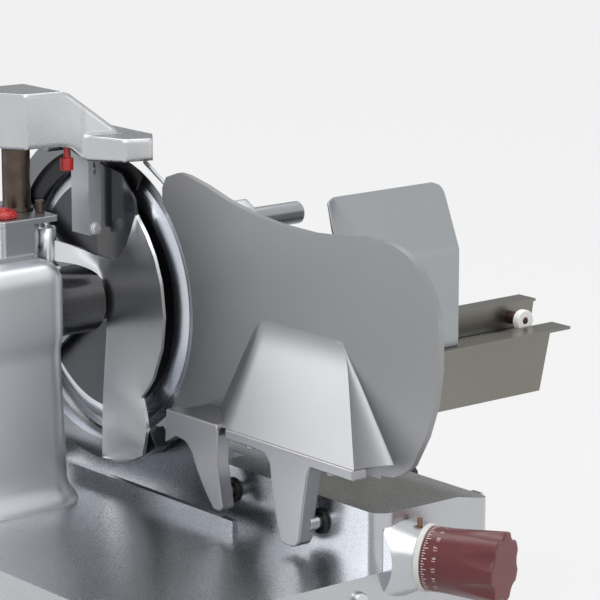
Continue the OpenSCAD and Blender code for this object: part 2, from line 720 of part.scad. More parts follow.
module pusher_plate() place() color("#b9bbbc") {
    yz_plate(arm_x0 - 6, arm_x0) polygon([[channel_y1 + far_flange + 3, table_z + 6], [-40, table_z + 6],
        [-40, table_z + 130], [-90, table_z + 205], [channel_y1 + far_flange + 3, table_z + 205]]);
    for (y = [-225 : 33 : -60], z = [30, 65, 100]) translate([arm_x0 - 6, y, table_z + z])
        rotate([0, -90, 0]) cylinder(r1 = 3.5, r2 = 0.6, h = 6, $fn = 24);
}

module pusher_handle() place() color("#a5a7a9")
    x_cyl(handle_r, arm_x0 + arm_w, arm_x0 + arm_w + 78, handle_y, handle_z);

module sharpener_base() place() color("#c1c3c5") difference() {
    union() {
        round_box(col_x0 + 60, col_x1 + 2, col_y0 + 42, column_back - 20, column_top, head_base_z, 14);
        round_box(post_x - 60, post_x + 20, col_y0 + 47, column_back - 36, head_base_z, head_base_top, 5);
    }
    z_cyl(post_r, post_x, post_y, head_base_z + 10, head_base_top + 1);
    z_cyl(lock_pin_r + run_gap, lock_x, lock_y, head_base_top - 22, head_base_top + 1);
}

module sharpener_post() place() color("#5a4a40") {
    z_cyl(post_r, post_x, post_y, head_base_z + 10, head_top - 14);
    z_cyl(post_r + 3, post_x, post_y, head_base_top, head_base_top + 4);
    z_cyl(6, post_x + 14, post_y - 28, head_base_top, head_base_top + 14);
}

// Turned down to clamp the head's height: red ring, pale cap and red button in one
module head_lock() place() color("#b3201c") {
    z_cyl(lock_pin_r, lock_x, lock_y, head_base_top - 20, head_base_top + 1);
    z_cyl(17, lock_x, lock_y, head_base_top + slip_gap, head_base_top + 6);
    z_cyl(14, lock_x, lock_y, head_base_top + 5, head_base_top + 9);
    z_cyl(6, lock_x, lock_y, head_base_top + 8, head_base_top + 12);
}

// Plan of the cast head and of the nose that covers the top of the knife
module head_plan() {
    polygon([[-135, -21], [-60, -34], [0, -43], [24, -40], [24, 44], [-150, 60], [-176, 50]]);
    polygon([[-60, -34], [-30, -75], [4, -86], [24, -58], [24, -30], [-40, -20]]);
}

// Hollow of the head behind the web that parts it from the nose
module head_hollow() polygon([[-129, -14], [-60, -27], [-52, strip_y], [18, strip_y], [18, 38], [-148, 53],
    [-166, 46]]);

// Side profile: high over the post, sloping down to the nose
module head_profile(g) polygon([[-200, knife_z + 196 - g], [-200, head_top - g], [-86, head_top - g],
    [-78, head_top - 3 - g], [-12, knife_z + 208 - g], [30, knife_z + 203 - g], [30, head_z - g],
    [-58, head_z - g], [-76, knife_z + 193 - g], [-90, knife_z + 196 - g]]);

module sharpener_head() place() color("#d0d2d4") difference() {
    union() {
        difference() {
            intersection() {
                translate([0, 0, head_z - 2]) linear_extrude(120) head_plan();
                xz_plate(-120, 120) head_profile(0);
            }
            intersection() {
                translate([0, 0, head_z - 8]) linear_extrude(120) head_hollow();
                xz_plate(-120, 120) head_profile(skin);
            }
        }
        z_cyl(post_r + 8, post_x, post_y, knife_z + 200, head_top - skin + 1);
        box(plunger_x - 12, plunger_x + 12, plunger_y - 10, plunger_y + 12, knife_z + 200, knife_z + 208);
    }
    translate([0, 0, head_z - 1]) linear_extrude(21) {
        polygon([[-52, -36], [-28, -68], [web_x0, -74], [web_x0, -36]]);
        polygon([[web_x1, -79], [18, -56], [18, -36], [web_x1, -36]]);
    }
    z_cyl(post_r + run_gap, post_x, post_y, knife_z + 190, head_top - 12);
    x_cyl(spindle_r + run_gap, -42, 21, stone_y, stone_z);
    x_cyl(2 + run_gap, web_x0 + 2, web_x1 + 1, lever_y, lever_z);
    z_cyl(4 + run_gap, plunger_x, plunger_y, knife_z + 199, knife_z + 209);
}

module hanging_strip() place() color("#9fa2a5") difference() {
    box(strip_x, strip_x + 18, strip_y, strip_y + 36, knife_z + 83, knife_z + 190);
    box(strip_x + strip_t, strip_x + 19, strip_y + strip_t, strip_y + 37, knife_z + 82, knife_z + 191);
    box(strip_x + 7.5, strip_x + 11, strip_y - 1, strip_y + 4, knife_z + 157, knife_z + 172);
    y_cyl(3, strip_y - 1, strip_y + 4, strip_x + 9, knife_z + 91);
}

module strip_rivet() place() color("#cfd1d2") {
    y_cyl(3, strip_y, strip_y + strip_t + 2, strip_x + 9, knife_z + 91);
    y_cyl(7.5, strip_y - 2, strip_y, strip_x + 9, knife_z + 91);
    y_cyl(5, strip_y - 3.5, strip_y - 2, strip_x + 9, knife_z + 91);
}

module grinding_stone() place() color("#8a5f3c") {
    x_cyl(stone_r, -23, -14, stone_y, stone_z);
    x_cyl(spindle_r, -41, web_x1 - 8, stone_y, stone_z);
}

module deburring_stone() place() color("#d8d4ca") {
    x_cyl(stone_r, 8, 14, stone_y, stone_z);
    x_cyl(spindle_r, web_x1 - 7, 20, stone_y, stone_z);
}

module sharpener_button() place() color("#a3262b") {
    z_cyl(8, plunger_x, plunger_y, knife_z + 165, knife_z + 180);
    z_cyl(4, plunger_x, plunger_y, knife_z + 179, knife_z + 212);
    z_cyl(5.5, plunger_x, plunger_y, knife_z + 208 + slip_gap, knife_z + 212);
}

module release_lever() place() color("#b7b9bb") {
    x_cyl(3, web_x1 + 1, web_x1 + 6, lever_y, lever_z);
    x_cyl(2, web_x0 + 3, web_x1 + 1.5, lever_y, lever_z);
    yz_plate(web_x1 + 1, web_x1 + 6) polygon([[lever_y - 1, lever_z], [lever_y - 2, knife_z + 173],
        [-107, knife_z + 151.5], [-106, knife_z + 149], [lever_y + 0.5, knife_z + 170.5],
        [lever_y + 1.5, lever_z]]);
}

base_casting();
bottom_cover();
feet();
power_inlet();
start_button();
stop_button();
column();
motor();
motor_shaft();
motor_pulley();
drive_belt();
knife_pulley();
knife_shaft();
hub_housing();
bearings();
knife();
knife_screws();
ring_guard();
guard_pad();
cover_disc();
tie_rod();
tie_knob();
slice_deflector();
deflector_pin();
gauge_plate();
gauge_bracket();
bracket_bolts();
guide_shafts();
shaft_seals();
cam_follower();
thickness_knob();
collar_ring();
index_pin();
cam_shaft();
carriage_rod();
carriage_slider();
slider_bushes();
guide_roller();
carriage_arm();
arm_cover();
product_channel();
product_table();
hand_guard();
outer_roller();
inner_roller();
roller_bolts();
pusher_sled();
pusher_arm();
pusher_plate();
pusher_handle();
sharpener_base();
sharpener_post();
sharpener_head();
hanging_strip();
strip_rivet();
grinding_stone();
deburring_stone();
sharpener_button();
release_lever();
head_lock();
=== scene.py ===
"""Looks of a vertical meat slicer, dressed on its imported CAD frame.

Sizes are millimetres measured from the centre of the knife's rear plane: x along the knife's axis to the
right, y away from the operator and z up. The function at() turns them into the row's metres.
"""

import json
import logging
import math
from dataclasses import dataclass
from enum import Enum
from functools import cache
from typing import Optional, Sequence

import bmesh
import bpy
from mathutils import Matrix, Vector


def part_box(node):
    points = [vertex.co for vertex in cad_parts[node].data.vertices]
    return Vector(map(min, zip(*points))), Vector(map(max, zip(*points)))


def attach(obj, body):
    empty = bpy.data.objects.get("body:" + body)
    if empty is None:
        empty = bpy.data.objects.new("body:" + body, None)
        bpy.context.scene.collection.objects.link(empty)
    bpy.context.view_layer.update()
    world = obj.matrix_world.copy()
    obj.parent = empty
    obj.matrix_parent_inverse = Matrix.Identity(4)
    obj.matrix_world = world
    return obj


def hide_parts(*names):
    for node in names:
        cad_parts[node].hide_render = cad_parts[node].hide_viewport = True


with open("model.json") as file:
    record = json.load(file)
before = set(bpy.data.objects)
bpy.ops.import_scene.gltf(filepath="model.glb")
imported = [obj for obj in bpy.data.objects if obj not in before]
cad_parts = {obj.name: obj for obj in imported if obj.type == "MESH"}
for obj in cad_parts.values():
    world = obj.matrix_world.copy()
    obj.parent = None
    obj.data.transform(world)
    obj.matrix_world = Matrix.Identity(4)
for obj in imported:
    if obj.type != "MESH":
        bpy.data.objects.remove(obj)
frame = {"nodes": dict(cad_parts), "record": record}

logging.basicConfig(level=logging.INFO, format="%(name)s: %(message)s")
LOG = logging.getLogger("slicer")
MM = 0.001
KNIFE_LOW, KNIFE_HIGH = (Vector(corner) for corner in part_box("knife"))
CENTRE = Vector((KNIFE_HIGH.x, (KNIFE_LOW.y + KNIFE_HIGH.y) / 2, (KNIFE_LOW.z + KNIFE_HIGH.z) / 2))
KNIFE_RADIUS = (KNIFE_HIGH.y - KNIFE_LOW.y) / 2 / MM
PHOTO_WIDTH = 600
BACKDROP = "#f2f2f2"
# Values of Blender's noise between which most of it lies
NOISE_LOW, NOISE_HIGH = 0.35, 0.65
# Distances in metres under which points merge: of new pieces, of copies and of what a cutter leaves
MERGE_NEW, MERGE_COPY, MERGE_CUT = 1e-6, 2e-6, 3e-4

Point = tuple[float, float, float]
Outline = Sequence[tuple[float, float]]
Rings = Sequence[Sequence[Point]]
Tree = bpy.types.NodeTree
Socket = bpy.types.NodeSocket
Piece = bpy.types.Object
Cut = Optional[tuple[Point, Point]]


class Axis(Enum):
    """Direction that brushing lines run in."""

    X = 0
    Y = 1
    Z = 2


def at(x: float, y: float, z: float) -> Vector:
    """Returns the row's place, in metres, of a point in mm from the knife's centre."""
    return CENTRE + Vector((x, y, z)) * MM


def local(place: Sequence[float]) -> Vector:
    """Returns a row's place as mm from the knife's centre."""
    return (Vector(place) - CENTRE) / MM


def linear(colour: str) -> tuple[float, float, float, float]:
    """Turns an sRGB hex colour into linear RGBA."""
    values = [int(colour[i : i + 2], 16) / 255 for i in (1, 3, 5)]
    turned = [v / 12.92 if v <= 0.04045 else ((v + 0.055) / 1.055) ** 2.4 for v in values]
    return (*turned, 1.0)


def add_node(tree: Tree, kind: str, settings: Optional[dict] = None,
             links: Optional[dict] = None) -> bpy.types.Node:
    """Adds a node with its settings and links.

    Args:
        tree: The tree that gets the node.
        kind: Blender's name of the node's type.
        settings: Attributes by name, and input values by socket name or number.
        links: Output sockets by the name or number of the input that they feed.

    Returns:
        The new node.
    """
    node = tree.nodes.new(kind)
    for key, value in (settings or {}).items():
        if isinstance(key, str) and hasattr(node, key) and key not in node.inputs:
            setattr(node, key, value)
        else:
            node.inputs[key].default_value = value
    for key, socket in (links or {}).items():
        tree.links.new(socket, node.inputs[key])
    return node


def ramp_node(tree: Tree, socket: Socket, low: float, dark: Sequence[float], high: float,
              light: Sequence[float]) -> Socket:
    """Returns a colour that goes from dark at the low value of a socket to light at its high value."""
    node = add_node(tree, "ShaderNodeValToRGB", links={"Fac": socket})
    for element, place, colour in zip(node.color_ramp.elements, (low, high), (dark, light)):
        element.position = place
        element.color = colour
    return node.outputs["Color"]


def new_material(name: str) -> bpy.types.Material:
    """Makes a material whose tree is empty."""
    material = bpy.data.materials.new(name)
    material.use_nodes = True
    material.node_tree.nodes.clear()
    return material


def new_object(name: str, data: bpy.types.ID) -> Piece:
    """Makes an object of a mesh, lamp, camera or text and links it to the scene."""
    made = bpy.data.objects.new(name, data)
    bpy.context.scene.collection.objects.link(made)
    return made


# Finishes


@dataclass(frozen=True)
class Finish:
    """A finish with a colour, a roughness and a surface pattern of a real size.

    Attributes:
        name: Name of the material.
        colour: sRGB hex colour.
        slot: Slot of the record; not used.
        rough: Mean roughness.
        metallic: 1 for bare metal, 0 for anything else.
        grain: Size and height in mm of the fine grain.
        wave: The same of the soft unevenness that hand work or moulding leaves.
        vary: Share by which the colour varies, and amount by which the roughness does.
        coat: Weight of a clear gloss on top.
        worn_mm: Radius to which handling has worn the edges.
    """

    name: str
    colour: str
    slot: str
    rough: float = 0.35
    metallic: float = 1.0
    grain: tuple[float, float] = (1.2, 0.004)
    wave: tuple[float, float] = (50.0, 0.1)
    vary: tuple[float, float] = (0.06, 0.06)
    coat: float = 0.0
    worn_mm: float = 0.0

    def pattern(self, tree: Tree, place: Socket, size_mm: float) -> Socket:
        """Returns noise whose features have the given size."""
        settings = {"Scale": 1 / (size_mm * MM), "Detail": 2.0}
        return add_node(tree, "ShaderNodeTexNoise", settings, {"Vector": place}).outputs["Fac"]

    def fine_pattern(self, tree: Tree, place: Socket) -> Socket:
        """Returns the fine pattern of the surface."""
        return self.pattern(tree, place, self.grain[0])

    @cache
    def make(self) -> bpy.types.Material:
        """Builds the material's nodes; later calls return the same material."""
        material = new_material(self.name)
        tree = material.node_tree
        place = add_node(tree, "ShaderNodeTexCoord").outputs["Object"]
        wave = self.pattern(tree, place, self.wave[0])
        grain = self.fine_pattern(tree, place)
        tone, spread = self.vary
        base = linear(self.colour)[:3]
        dark = tuple(c * (1 - tone) for c in base) + (1.0,)
        light = tuple(min(1.0, c * (1 + tone)) for c in base) + (1.0,)
        colour = ramp_node(tree, wave, NOISE_LOW, dark, NOISE_HIGH, light)
        rough = add_node(tree, "ShaderNodeMapRange", {"From Min": NOISE_LOW, "From Max": NOISE_HIGH,
                         "To Min": self.rough - spread, "To Max": self.rough + spread}, {"Value": grain})
        far = add_node(tree, "ShaderNodeBump", {"Distance": self.wave[1] * MM}, {"Height": wave})
        if self.worn_mm:
            worn = add_node(tree, "ShaderNodeBevel", {"samples": 16, "Radius": self.worn_mm * MM})
            tree.links.new(worn.outputs["Normal"], far.inputs["Normal"])
        near = add_node(tree, "ShaderNodeBump", {"Distance": self.grain[1] * MM},
                        {"Height": grain, "Normal": far.outputs["Normal"]})
        shader = add_node(tree, "ShaderNodeBsdfPrincipled", {"Metallic": self.metallic,
                          "Coat Weight": self.coat, "Coat Roughness": 0.12}, {"Base Color": colour,
                          "Roughness": rough.outputs["Result"], "Normal": near.outputs["Normal"]})
        add_node(tree, "ShaderNodeOutputMaterial", links={"Surface": shader.outputs["BSDF"]})
        return material


@dataclass(frozen=True)
class Brushed(Finish):
    """Metal whose fine lines run one way, as left by a brush or a belt.

    Attributes:
        along: Direction of the lines.
        stretch: Times that a line is longer than it is wide.
    """

    along: Axis = Axis.Y
    stretch: float = 40.0

    def fine_pattern(self, tree: Tree, place: Socket) -> Socket:
        """Returns noise drawn out along the lines."""
        scale = [1.0, 1.0, 1.0]
        scale[self.along.value] = 1 / self.stretch
        turned = add_node(tree, "ShaderNodeMapping", {"Scale": scale}, {"Vector": place}).outputs["Vector"]
        return self.pattern(tree, turned, self.grain[0])


@dataclass(frozen=True)
class Turned(Finish):
    """Metal with the rings that a lathe or grinder leaves round the knife's axis."""

    def fine_pattern(self, tree: Tree, place: Socket) -> Socket:
        """Returns noise that depends only on the distance from the axis."""
        shift = tuple(-CENTRE)
        moved = add_node(tree, "ShaderNodeMapping", {"Location": shift}, {"Vector": place}).outputs["Vector"]
        flat = add_node(tree, "ShaderNodeVectorMath", {"operation": "MULTIPLY", 1: (0.02, 1, 1)}, {0: moved})
        reach = add_node(tree, "ShaderNodeVectorMath", {"operation": "LENGTH"}, {0: flat.outputs["Vector"]})
        settings = {"noise_dimensions": "1D", "Scale": 1 / (self.grain[0] * MM), "Detail": 2.0}
        return add_node(tree, "ShaderNodeTexNoise", settings, {"W": reach.outputs["Value"]}).outputs["Fac"]


# Sand-cast aluminium, ground and hand polished: soft reflections that sway with the uneven skin
CASTING = Finish("cast_aluminium", "#bdbfc3", "casting", 0.27, grain=(1.2, 0.0005), wave=(70, 0.35),
                 vary=(0.03, 0.03))
# The same casting left satin by a finer belt, as on the column, and lighter in colour as painted light for
# the light that the column catches
SATIN_PAINTED_LIGHT_COLUMN = Finish("satin_column_painted_light", "#dcdee2", "casting", 0.4, grain=(1.2, 0.0005), wave=(90, 0.3),
                vary=(0.03, 0.03))
# Milled flat and belt ground
BLOCK = Finish("milled_block", "#b4b7bc", "casting", 0.34, grain=(1.2, 0.001), wave=(90, 0.1),
               vary=(0.03, 0.03))
# The casting polished brighter, with edges worn soft, as on the sharpener's cover
HEAD_CASTING = Finish("polished_cover_casting", "#c6c8ca", "head_alloy", 0.27, grain=(1.2, 0.0005),
                      wave=(60, 0.3), vary=(0.03, 0.02), worn_mm=8)
# Anodised after sandblasting: dull even grey
GAUGE = Finish("anodised_gauge", "#9a9b9d", "gauge_alloy", 0.42, grain=(0.9, 0.002), wave=(160, 0.3),
               vary=(0.02, 0.02))
BRACKET = Finish("ground_bracket", "#a2a2a5", "casting", 0.34, grain=(1.2, 0.001), wave=(90, 0.2),
                 vary=(0.03, 0.03))
RING = Finish("machined_ring", "#b2b5ba", "ring_alloy", 0.2, grain=(1.2, 0.001), wave=(120, 0.1),
              vary=(0.06, 0.03))
# The same ring alloy dulled, as cast
GUARD_RING = Finish("dull_guard_ring", "#85878b", "ring_alloy", 0.3, grain=(1.2, 0.001), wave=(120, 0.1),
                    vary=(0.06, 0.03))
# Stainless sheet, polished after pressing: bright, with soft edges to what it mirrors
DEFLECTOR = Finish("polished_stainless", "#e2e3e5", "deflector_steel", 0.3, grain=(1.2, 0.0005),
                   wave=(80, 0.2), vary=(0.02, 0.02))
# Hard-chromed knife steel, ground in rings and polished
KNIFE = Turned("polished_knife_steel", "#ced2da", "knife_steel", 0.27, grain=(1, 0.001), wave=(200, 0.02),
               vary=(0.02, 0.04))
# Lip of the ring guard, coloured dark as painted shade
PAINTED_SHADE_LIP = Finish("lip_painted_shade", "#3a3a3d", "ring_alloy", 0.4, grain=(1.2, 0.001), vary=(0.05, 0.06))
# Hard anodised black against wear
PLATE = Finish("hard_anodised_plate", "#303033", "ring_alloy", 0.42, grain=(1.2, 0.001), vary=(0.05, 0.06))
# The knife inside its band: unpolished, and coloured dark as a painted reflection of the dark housing and
# column
PAINTED_REFLECTION_HUB = Turned("knife_centre_painted_reflection", "#55565b", "knife_steel", 0.34, grain=(1.2, 0.001), vary=(0.03, 0.06))
PULLEY = Turned("turned_aluminium", "#a4a7aa", "pulley_metal", 0.3)
CHROME = Finish("chromed_steel", "#d0d2d4", "button_chrome", 0.08, wave=(50, 0.02), vary=(0.06, 0.03))
RIVET = Finish("satin_rivet", "#e0e1e3", "button_chrome", 0.3, 0.6, wave=(50, 0.02), vary=(0.06, 0.03))
SHAFT = Finish("ground_shaft_steel", "#bcbec0", "shaft_steel", 0.16, wave=(50, 0.02))
SCREW = Finish("zinc_plated_steel", "#a8a9aa", "screw_steel", 0.3, wave=(8, 0.02))
# Extruded channel, anodised and brushed along its length
CHANNEL = Brushed("brushed_channel", "#85837c", "channel_alloy", 0.34, grain=(0.8, 0.002), wave=(120, 0.1),
                  vary=(0.03, 0.03), along=Axis.X)
GUARD = Brushed("brushed_guard_sheet", "#a4a7aa", "guard_alloy", 0.36, grain=(0.8, 0.0015), wave=(120, 0.1),
                vary=(0.02, 0.03), along=Axis.Z)
STRIP = Brushed("sheet_steel_strip", "#b4b8bd", "strip_steel", 0.42, 0.6, grain=(0.7, 0.004), along=Axis.Z)
COVER = Brushed("galvanised_sheet", "#8d8f91", "cover_sheet", 0.4, grain=(1.5, 0.004), wave=(25, 0.1),
                vary=(0.12, 0.06))
HANDLE = Brushed("brushed_tube", "#a2a5a8", "handle_alloy", 0.3, grain=(0.8, 0.001), wave=(60, 0.01),
                 vary=(0.06, 0.03), along=Axis.X)
# Oxidised steel, oiled: brown-grey with dull patches
POST = Finish("browned_steel", "#5b504a", "post_steel", 0.33, wave=(25, 0.1), vary=(0.15, 0.06))
BOLT = Finish("browned_bolt_steel", "#54463d", "bolt_dark", 0.35, wave=(6, 0.1), vary=(0.15, 0.06))
WHEEL = Turned("hardened_steel", "#77797d", "wheel_steel", 0.3)
BRONZE = Finish("sintered_bronze", "#b4884a", "bush_bronze", 0.42, grain=(0.8, 0.02))
BRASS = Finish("dull_brass", "#8d6a5a", "pin_brass", 0.4, wave=(5, 0.1), vary=(0.12, 0.06))
HOUSING = Finish("black_enamel", "#17181b", "housing_iron", 0.3, 0, wave=(20, 0.15), coat=0.5)
MOTOR = Finish("grey_enamel", "#3a4047", "motor_paint", 0.4, 0, wave=(12, 0.1), coat=0.3)
# Moulded plastics: spark-eroded grain, drawn at about a millimetre
PAD = Finish("dark_gloss_plastic", "#171b24", "pad_plastic", 0.18, 0, grain=(1.2, 0.001), wave=(90, 0.1),
             coat=0.6)
BLACK = Finish("black_moulded_plastic", "#1b1c1e", "black_plastic", 0.45, 0, grain=(1, 0.02))
RED = Finish("red_gloss_plastic", "#b3201c", "button_red", 0.25, 0, grain=(1.2, 0.002), coat=0.4)
MAROON = Finish("maroon_moulded_plastic", "#5f2026", "knob_plastic", 0.36, 0, grain=(0.9, 0.008),
                wave=(30, 0.05), vary=(0.05, 0.06), coat=0.15)
MAROON_END = Finish("worn_maroon_end", "#6c2f31", "knob_plastic", 0.5, 0, grain=(1.1, 0.02), wave=(14, 0.1),
                    vary=(0.04, 0.06))
MARKING = Finish("pale_dial_print", "#dcc9c6", "knob_plastic", 0.5, 0, wave=(4, 0.1))
COLLAR = Finish("off_white_plastic", "#d9d9d5", "collar_plastic", 0.4, 0, grain=(1, 0.004),
                vary=(0.03, 0.06))
NYLON = Finish("turned_nylon", "#ececea", "nylon", 0.38, 0, grain=(0.8, 0.01), vary=(0.02, 0.06))
RUBBER = Finish("black_rubber", "#1c1c1d", "foot_rubber", 0.62, 0, grain=(1.4, 0.05))
SEAL = Finish("seal_rubber", "#121212", "seal_rubber", 0.5, 0, grain=(0.9, 0.02))
BELT = Brushed("ribbed_belt_rubber", "#17181a", "belt_rubber", 0.6, 0, grain=(2, 0.2))
# Bonded abrasive: grit of about half a millimetre, drawn at a millimetre
BROWN_STONE = Finish("brown_abrasive", "#8a5f3c", "stone_brown", 0.85, 0, grain=(1, 0.15), vary=(0.2, 0.06))
WHITE_STONE = Finish("white_abrasive", "#d6d0c2", "stone_white", 0.85, 0, grain=(0.9, 0.12),
                     vary=(0.1, 0.06))


# Meshes


def clean(mesh: bpy.types.Mesh, merge: float, flat: float = 0.0, cut: Cut = None) -> None:
    """Merges doubles, cuts if asked and shades every face smooth.

    Args:
        mesh: The mesh.
        merge: Distance in metres under which points merge.
        flat: Angle in degrees up to which faces are joined; 0 joins none and turns them all outwards.
        cut: Where given, a point of a plane and the direction in which all beyond it is cut away.
    """
    work = bmesh.new()
    work.from_mesh(mesh)
    bmesh.ops.remove_doubles(work, verts=work.verts, dist=merge)
    if cut is not None:
        everything = [*work.verts, *work.edges, *work.faces]
        bmesh.ops.bisect_plane(work, geom=everything, plane_co=at(*cut[0]), plane_no=cut[1], clear_outer=True)
        bmesh.ops.holes_fill(work, edges=[edge for edge in work.edges if edge.is_boundary])
    if cut is not None or not flat:
        bmesh.ops.recalc_face_normals(work, faces=work.faces)
    if flat:
        bmesh.ops.dissolve_limit(work, angle_limit=math.radians(flat), verts=work.verts, edges=work.edges)
    for face in work.faces:
        face.smooth = True
        face.material_index = 0
    work.to_mesh(mesh)
    work.free()


def add_piece(name: str, points: Sequence[Vector], faces: Sequence[Sequence[int]], finish: Finish) -> Piece:
    """Makes an object from points in the row's metres, with smooth shading."""
    mesh = bpy.data.meshes.new(name)
    mesh.from_pydata([tuple(p) for p in points], [], faces)
    mesh.materials.append(finish.make())
    clean(mesh, MERGE_NEW)
    return new_object(name, mesh)


def bake(piece: Piece) -> Piece:
    """Applies a piece's modifiers and returns it as a plain mesh."""
    view = bpy.context.evaluated_depsgraph_get()
    mesh = bpy.data.meshes.new_from_object(piece.evaluated_get(view))
    piece.modifiers.clear()
    piece.data = mesh
    return piece


def sharpen(piece: Piece, angle: float) -> None:
    """Draws the edges of a piece sharp where its faces meet at more than an angle in degrees."""
    piece.data.set_sharp_from_angle(angle=math.radians(angle))


def soften(piece: Piece, width_mm: float, segments: int = 3, angle: float = 30) -> Piece:
    """Rounds a piece's sharp edges and keeps its flat faces flat.

    Args:
        piece: The piece.
        width_mm: Width of the rounding.
        segments: Faces across the rounding.
        angle: Angle in degrees from which an edge counts as sharp.

    Returns:
        The piece with its modifiers applied.
    """
    bevel = piece.modifiers.new("edges", "BEVEL")
    bevel.width = width_mm * MM
    bevel.segments = segments
    bevel.limit_method = "ANGLE"
    bevel.angle_limit = math.radians(angle)
    bevel.miter_outer = "MITER_ARC"
    bevel.use_clamp_overlap = True
    even = piece.modifiers.new("normals", "WEIGHTED_NORMAL")
    even.keep_sharp = True
    bake(piece)
    sharpen(piece, 44)
    return piece


def body_of(node: str) -> str:
    """Returns the body that holds a CAD node."""
    bodies = frame["record"]["behaviour"]["bodies"]
    return next(name for name, nodes in bodies.items() if node in nodes)


def mount(piece: Piece, body: str, finish: Finish, *nodes: str) -> None:
    """Lets a piece ride on a body and hides the CAD nodes that it stands for."""
    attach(piece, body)
    if nodes:
        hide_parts(*nodes)
    LOG.info("%s rides on %s, %d faces", piece.name, body, len(piece.data.polygons))


def dressed_copy(node: str, finish: Finish, width_mm: float, cut: Cut = None,
                 cutter: Optional[Piece] = None) -> None:
    """Copies a CAD node, rounds its edges and lets the copy stand for it.

    Args:
        node: The CAD node.
        finish: Its finish.
        width_mm: Width of the rounding.
        cut: Where given, a point of a plane and the direction in which all beyond it is cut away.
        cutter: Where given, a solid that is cut out of the copy and then deleted.
    """
    mesh = frame["nodes"][node].data.copy()
    mesh.materials.clear()
    mesh.materials.append(finish.make())
    piece = new_object(f"dressed_{node}", mesh)
    clean(mesh, MERGE_COPY, 0.6, cut)
    if mesh.has_custom_normals:
        mesh.normals_split_custom_set([(0, 0, 0)] * len(mesh.loops))
    if cutter is not None:
        pocket = piece.modifiers.new("pocket", "BOOLEAN")
        pocket.object = cutter
        pocket.solver = "EXACT"
        clean(bake(piece).data, MERGE_CUT, 1.5)
        bpy.data.objects.remove(cutter)
    soften(piece, width_mm)
    mount(piece, body_of(node), finish, node)


def dress(*rows: tuple[str, Finish, float]) -> None:
    """Copies and dresses CAD nodes; a row holds a node, its finish and the width of its rounding."""
    for node, finish, width_mm in rows:
        dressed_copy(node, finish, width_mm)


def circle(radius: float, steps: int) -> Outline:
    """Returns points set evenly round a centre."""
    turns = [2 * math.pi * i / steps for i in range(steps)]
    return [(radius * math.cos(turn), radius * math.sin(turn)) for turn in turns]


def ring_faces(rows: int, count: int, closed: bool = False) -> list[tuple[int, ...]]:
    """Returns the faces of a skin over rings of points.

    Args:
        rows: Number of rings.
        count: Points on each ring.
        closed: Whether the last ring joins the first; otherwise both end rings are filled.

    Returns:
        Faces as numbers of points.
    """
    faces: list[tuple[int, ...]] = []
    for row in range(rows if closed else rows - 1):
        first, second = row * count, (row + 1) % rows * count
        for i in range(count):
            j = (i + 1) % count
            faces.append((first + i, first + j, second + j, second + i))
    if not closed:
        faces.append(tuple(range(count)))
        faces.append(tuple(range((rows - 1) * count, rows * count)))
    return faces


def loft(name: str, finish: Finish, rings: Rings, sharp: float = 0.0, closed: bool = False) -> Piece:
    """Joins rings that have as many points each into a skin.

    Args:
        name: The piece's name.
        finish: Its finish.
        rings: Rings of points in mm from the knife's centre.
        sharp: Angle in degrees from which an edge is drawn sharp; 0 draws none sharp.
        closed: Whether the last ring joins the first.

    Returns:
        The piece.
    """
    points = [at(*p) for ring in rings for p in ring]
    piece = add_piece(name, points, ring_faces(len(rings), len(rings[0]), closed), finish)
    if sharp:
        sharpen(piece, sharp)
    return piece


def upright_plate(name: str, outline: Outline, sides: tuple[float, float], edge_mm: float) -> Piece:
    """Makes a bracket's plate from an outline of y and z, and x of its two sides, in mm."""
    piece = loft(name, BRACKET, [[(x, y, z) for y, z in outline] for x in sides])
    return soften(piece, edge_mm, 4, 35)


def sheet(name: str, finish: Finish, grids: Sequence[Rings], thick_mm: float, edge_mm: float = 0.8) -> Piece:
    """Makes a curved sheet of even thickness with round edges.

    Args:
        name: The piece's name.
        finish: Its finish.
        grids: Grids of points in mm from the knife's centre; grids that share points are joined there.
        thick_mm: Thickness of the sheet.
        edge_mm: Width of the rounding along its edges.

    Returns:
        The piece.
    """
    points, faces = [], []
    for rows in grids:
        first, across = len(points), len(rows[0])
        points += [at(*p) for row in rows for p in row]
        for r in range(len(rows) - 1):
            for c in range(first + r * across, first + (r + 1) * across - 1):
                faces.append((c, c + 1, c + across + 1, c + across))
    piece = add_piece(name, points, faces, finish)
    wall = piece.modifiers.new("wall", "SOLIDIFY")
    wall.thickness = thick_mm * MM
    wall.offset = 0.0
    clean(bake(piece).data, MERGE_NEW)
    return soften(piece, edge_mm, 3, 40)


def rounded_ring(sides: Sequence[float], radius: float, z: float, steps: int = 8) -> list[Point]:
    """Returns a level rectangle with round corners; sides are x left, x right, y front and y back."""
    x0, x1, y0, y1 = sides
    corners = ((x1 - radius, y1 - radius, 0), (x0 + radius, y1 - radius, 90), (x0 + radius, y0 + radius, 180),
               (x1 - radius, y0 + radius, 270))
    ring = []
    for cx, cy, start in corners:
        for i in range(steps + 1):
            turn = math.radians(start + 90 * i / steps)
            ring.append((cx + radius * math.cos(turn), cy + radius * math.sin(turn), z))
    return ring


def smooth_step(value: float, low: float, high: float) -> float:
    """Returns 0 below low, 1 above high and a soft rise between them."""
    t = min(1.0, max(0.0, (value - low) / (high - low)))
    return t * t * (3 - 2 * t)


def between(value: float, table: Outline) -> float:
    """Returns the value of a broken line whose points are sorted."""
    if value <= table[0][0]:
        return table[0][1]
    for (a, va), (b, vb) in zip(table, table[1:]):
        if value <= b:
            return va + (vb - va) * (value - a) / (b - a)
    return table[-1][1]


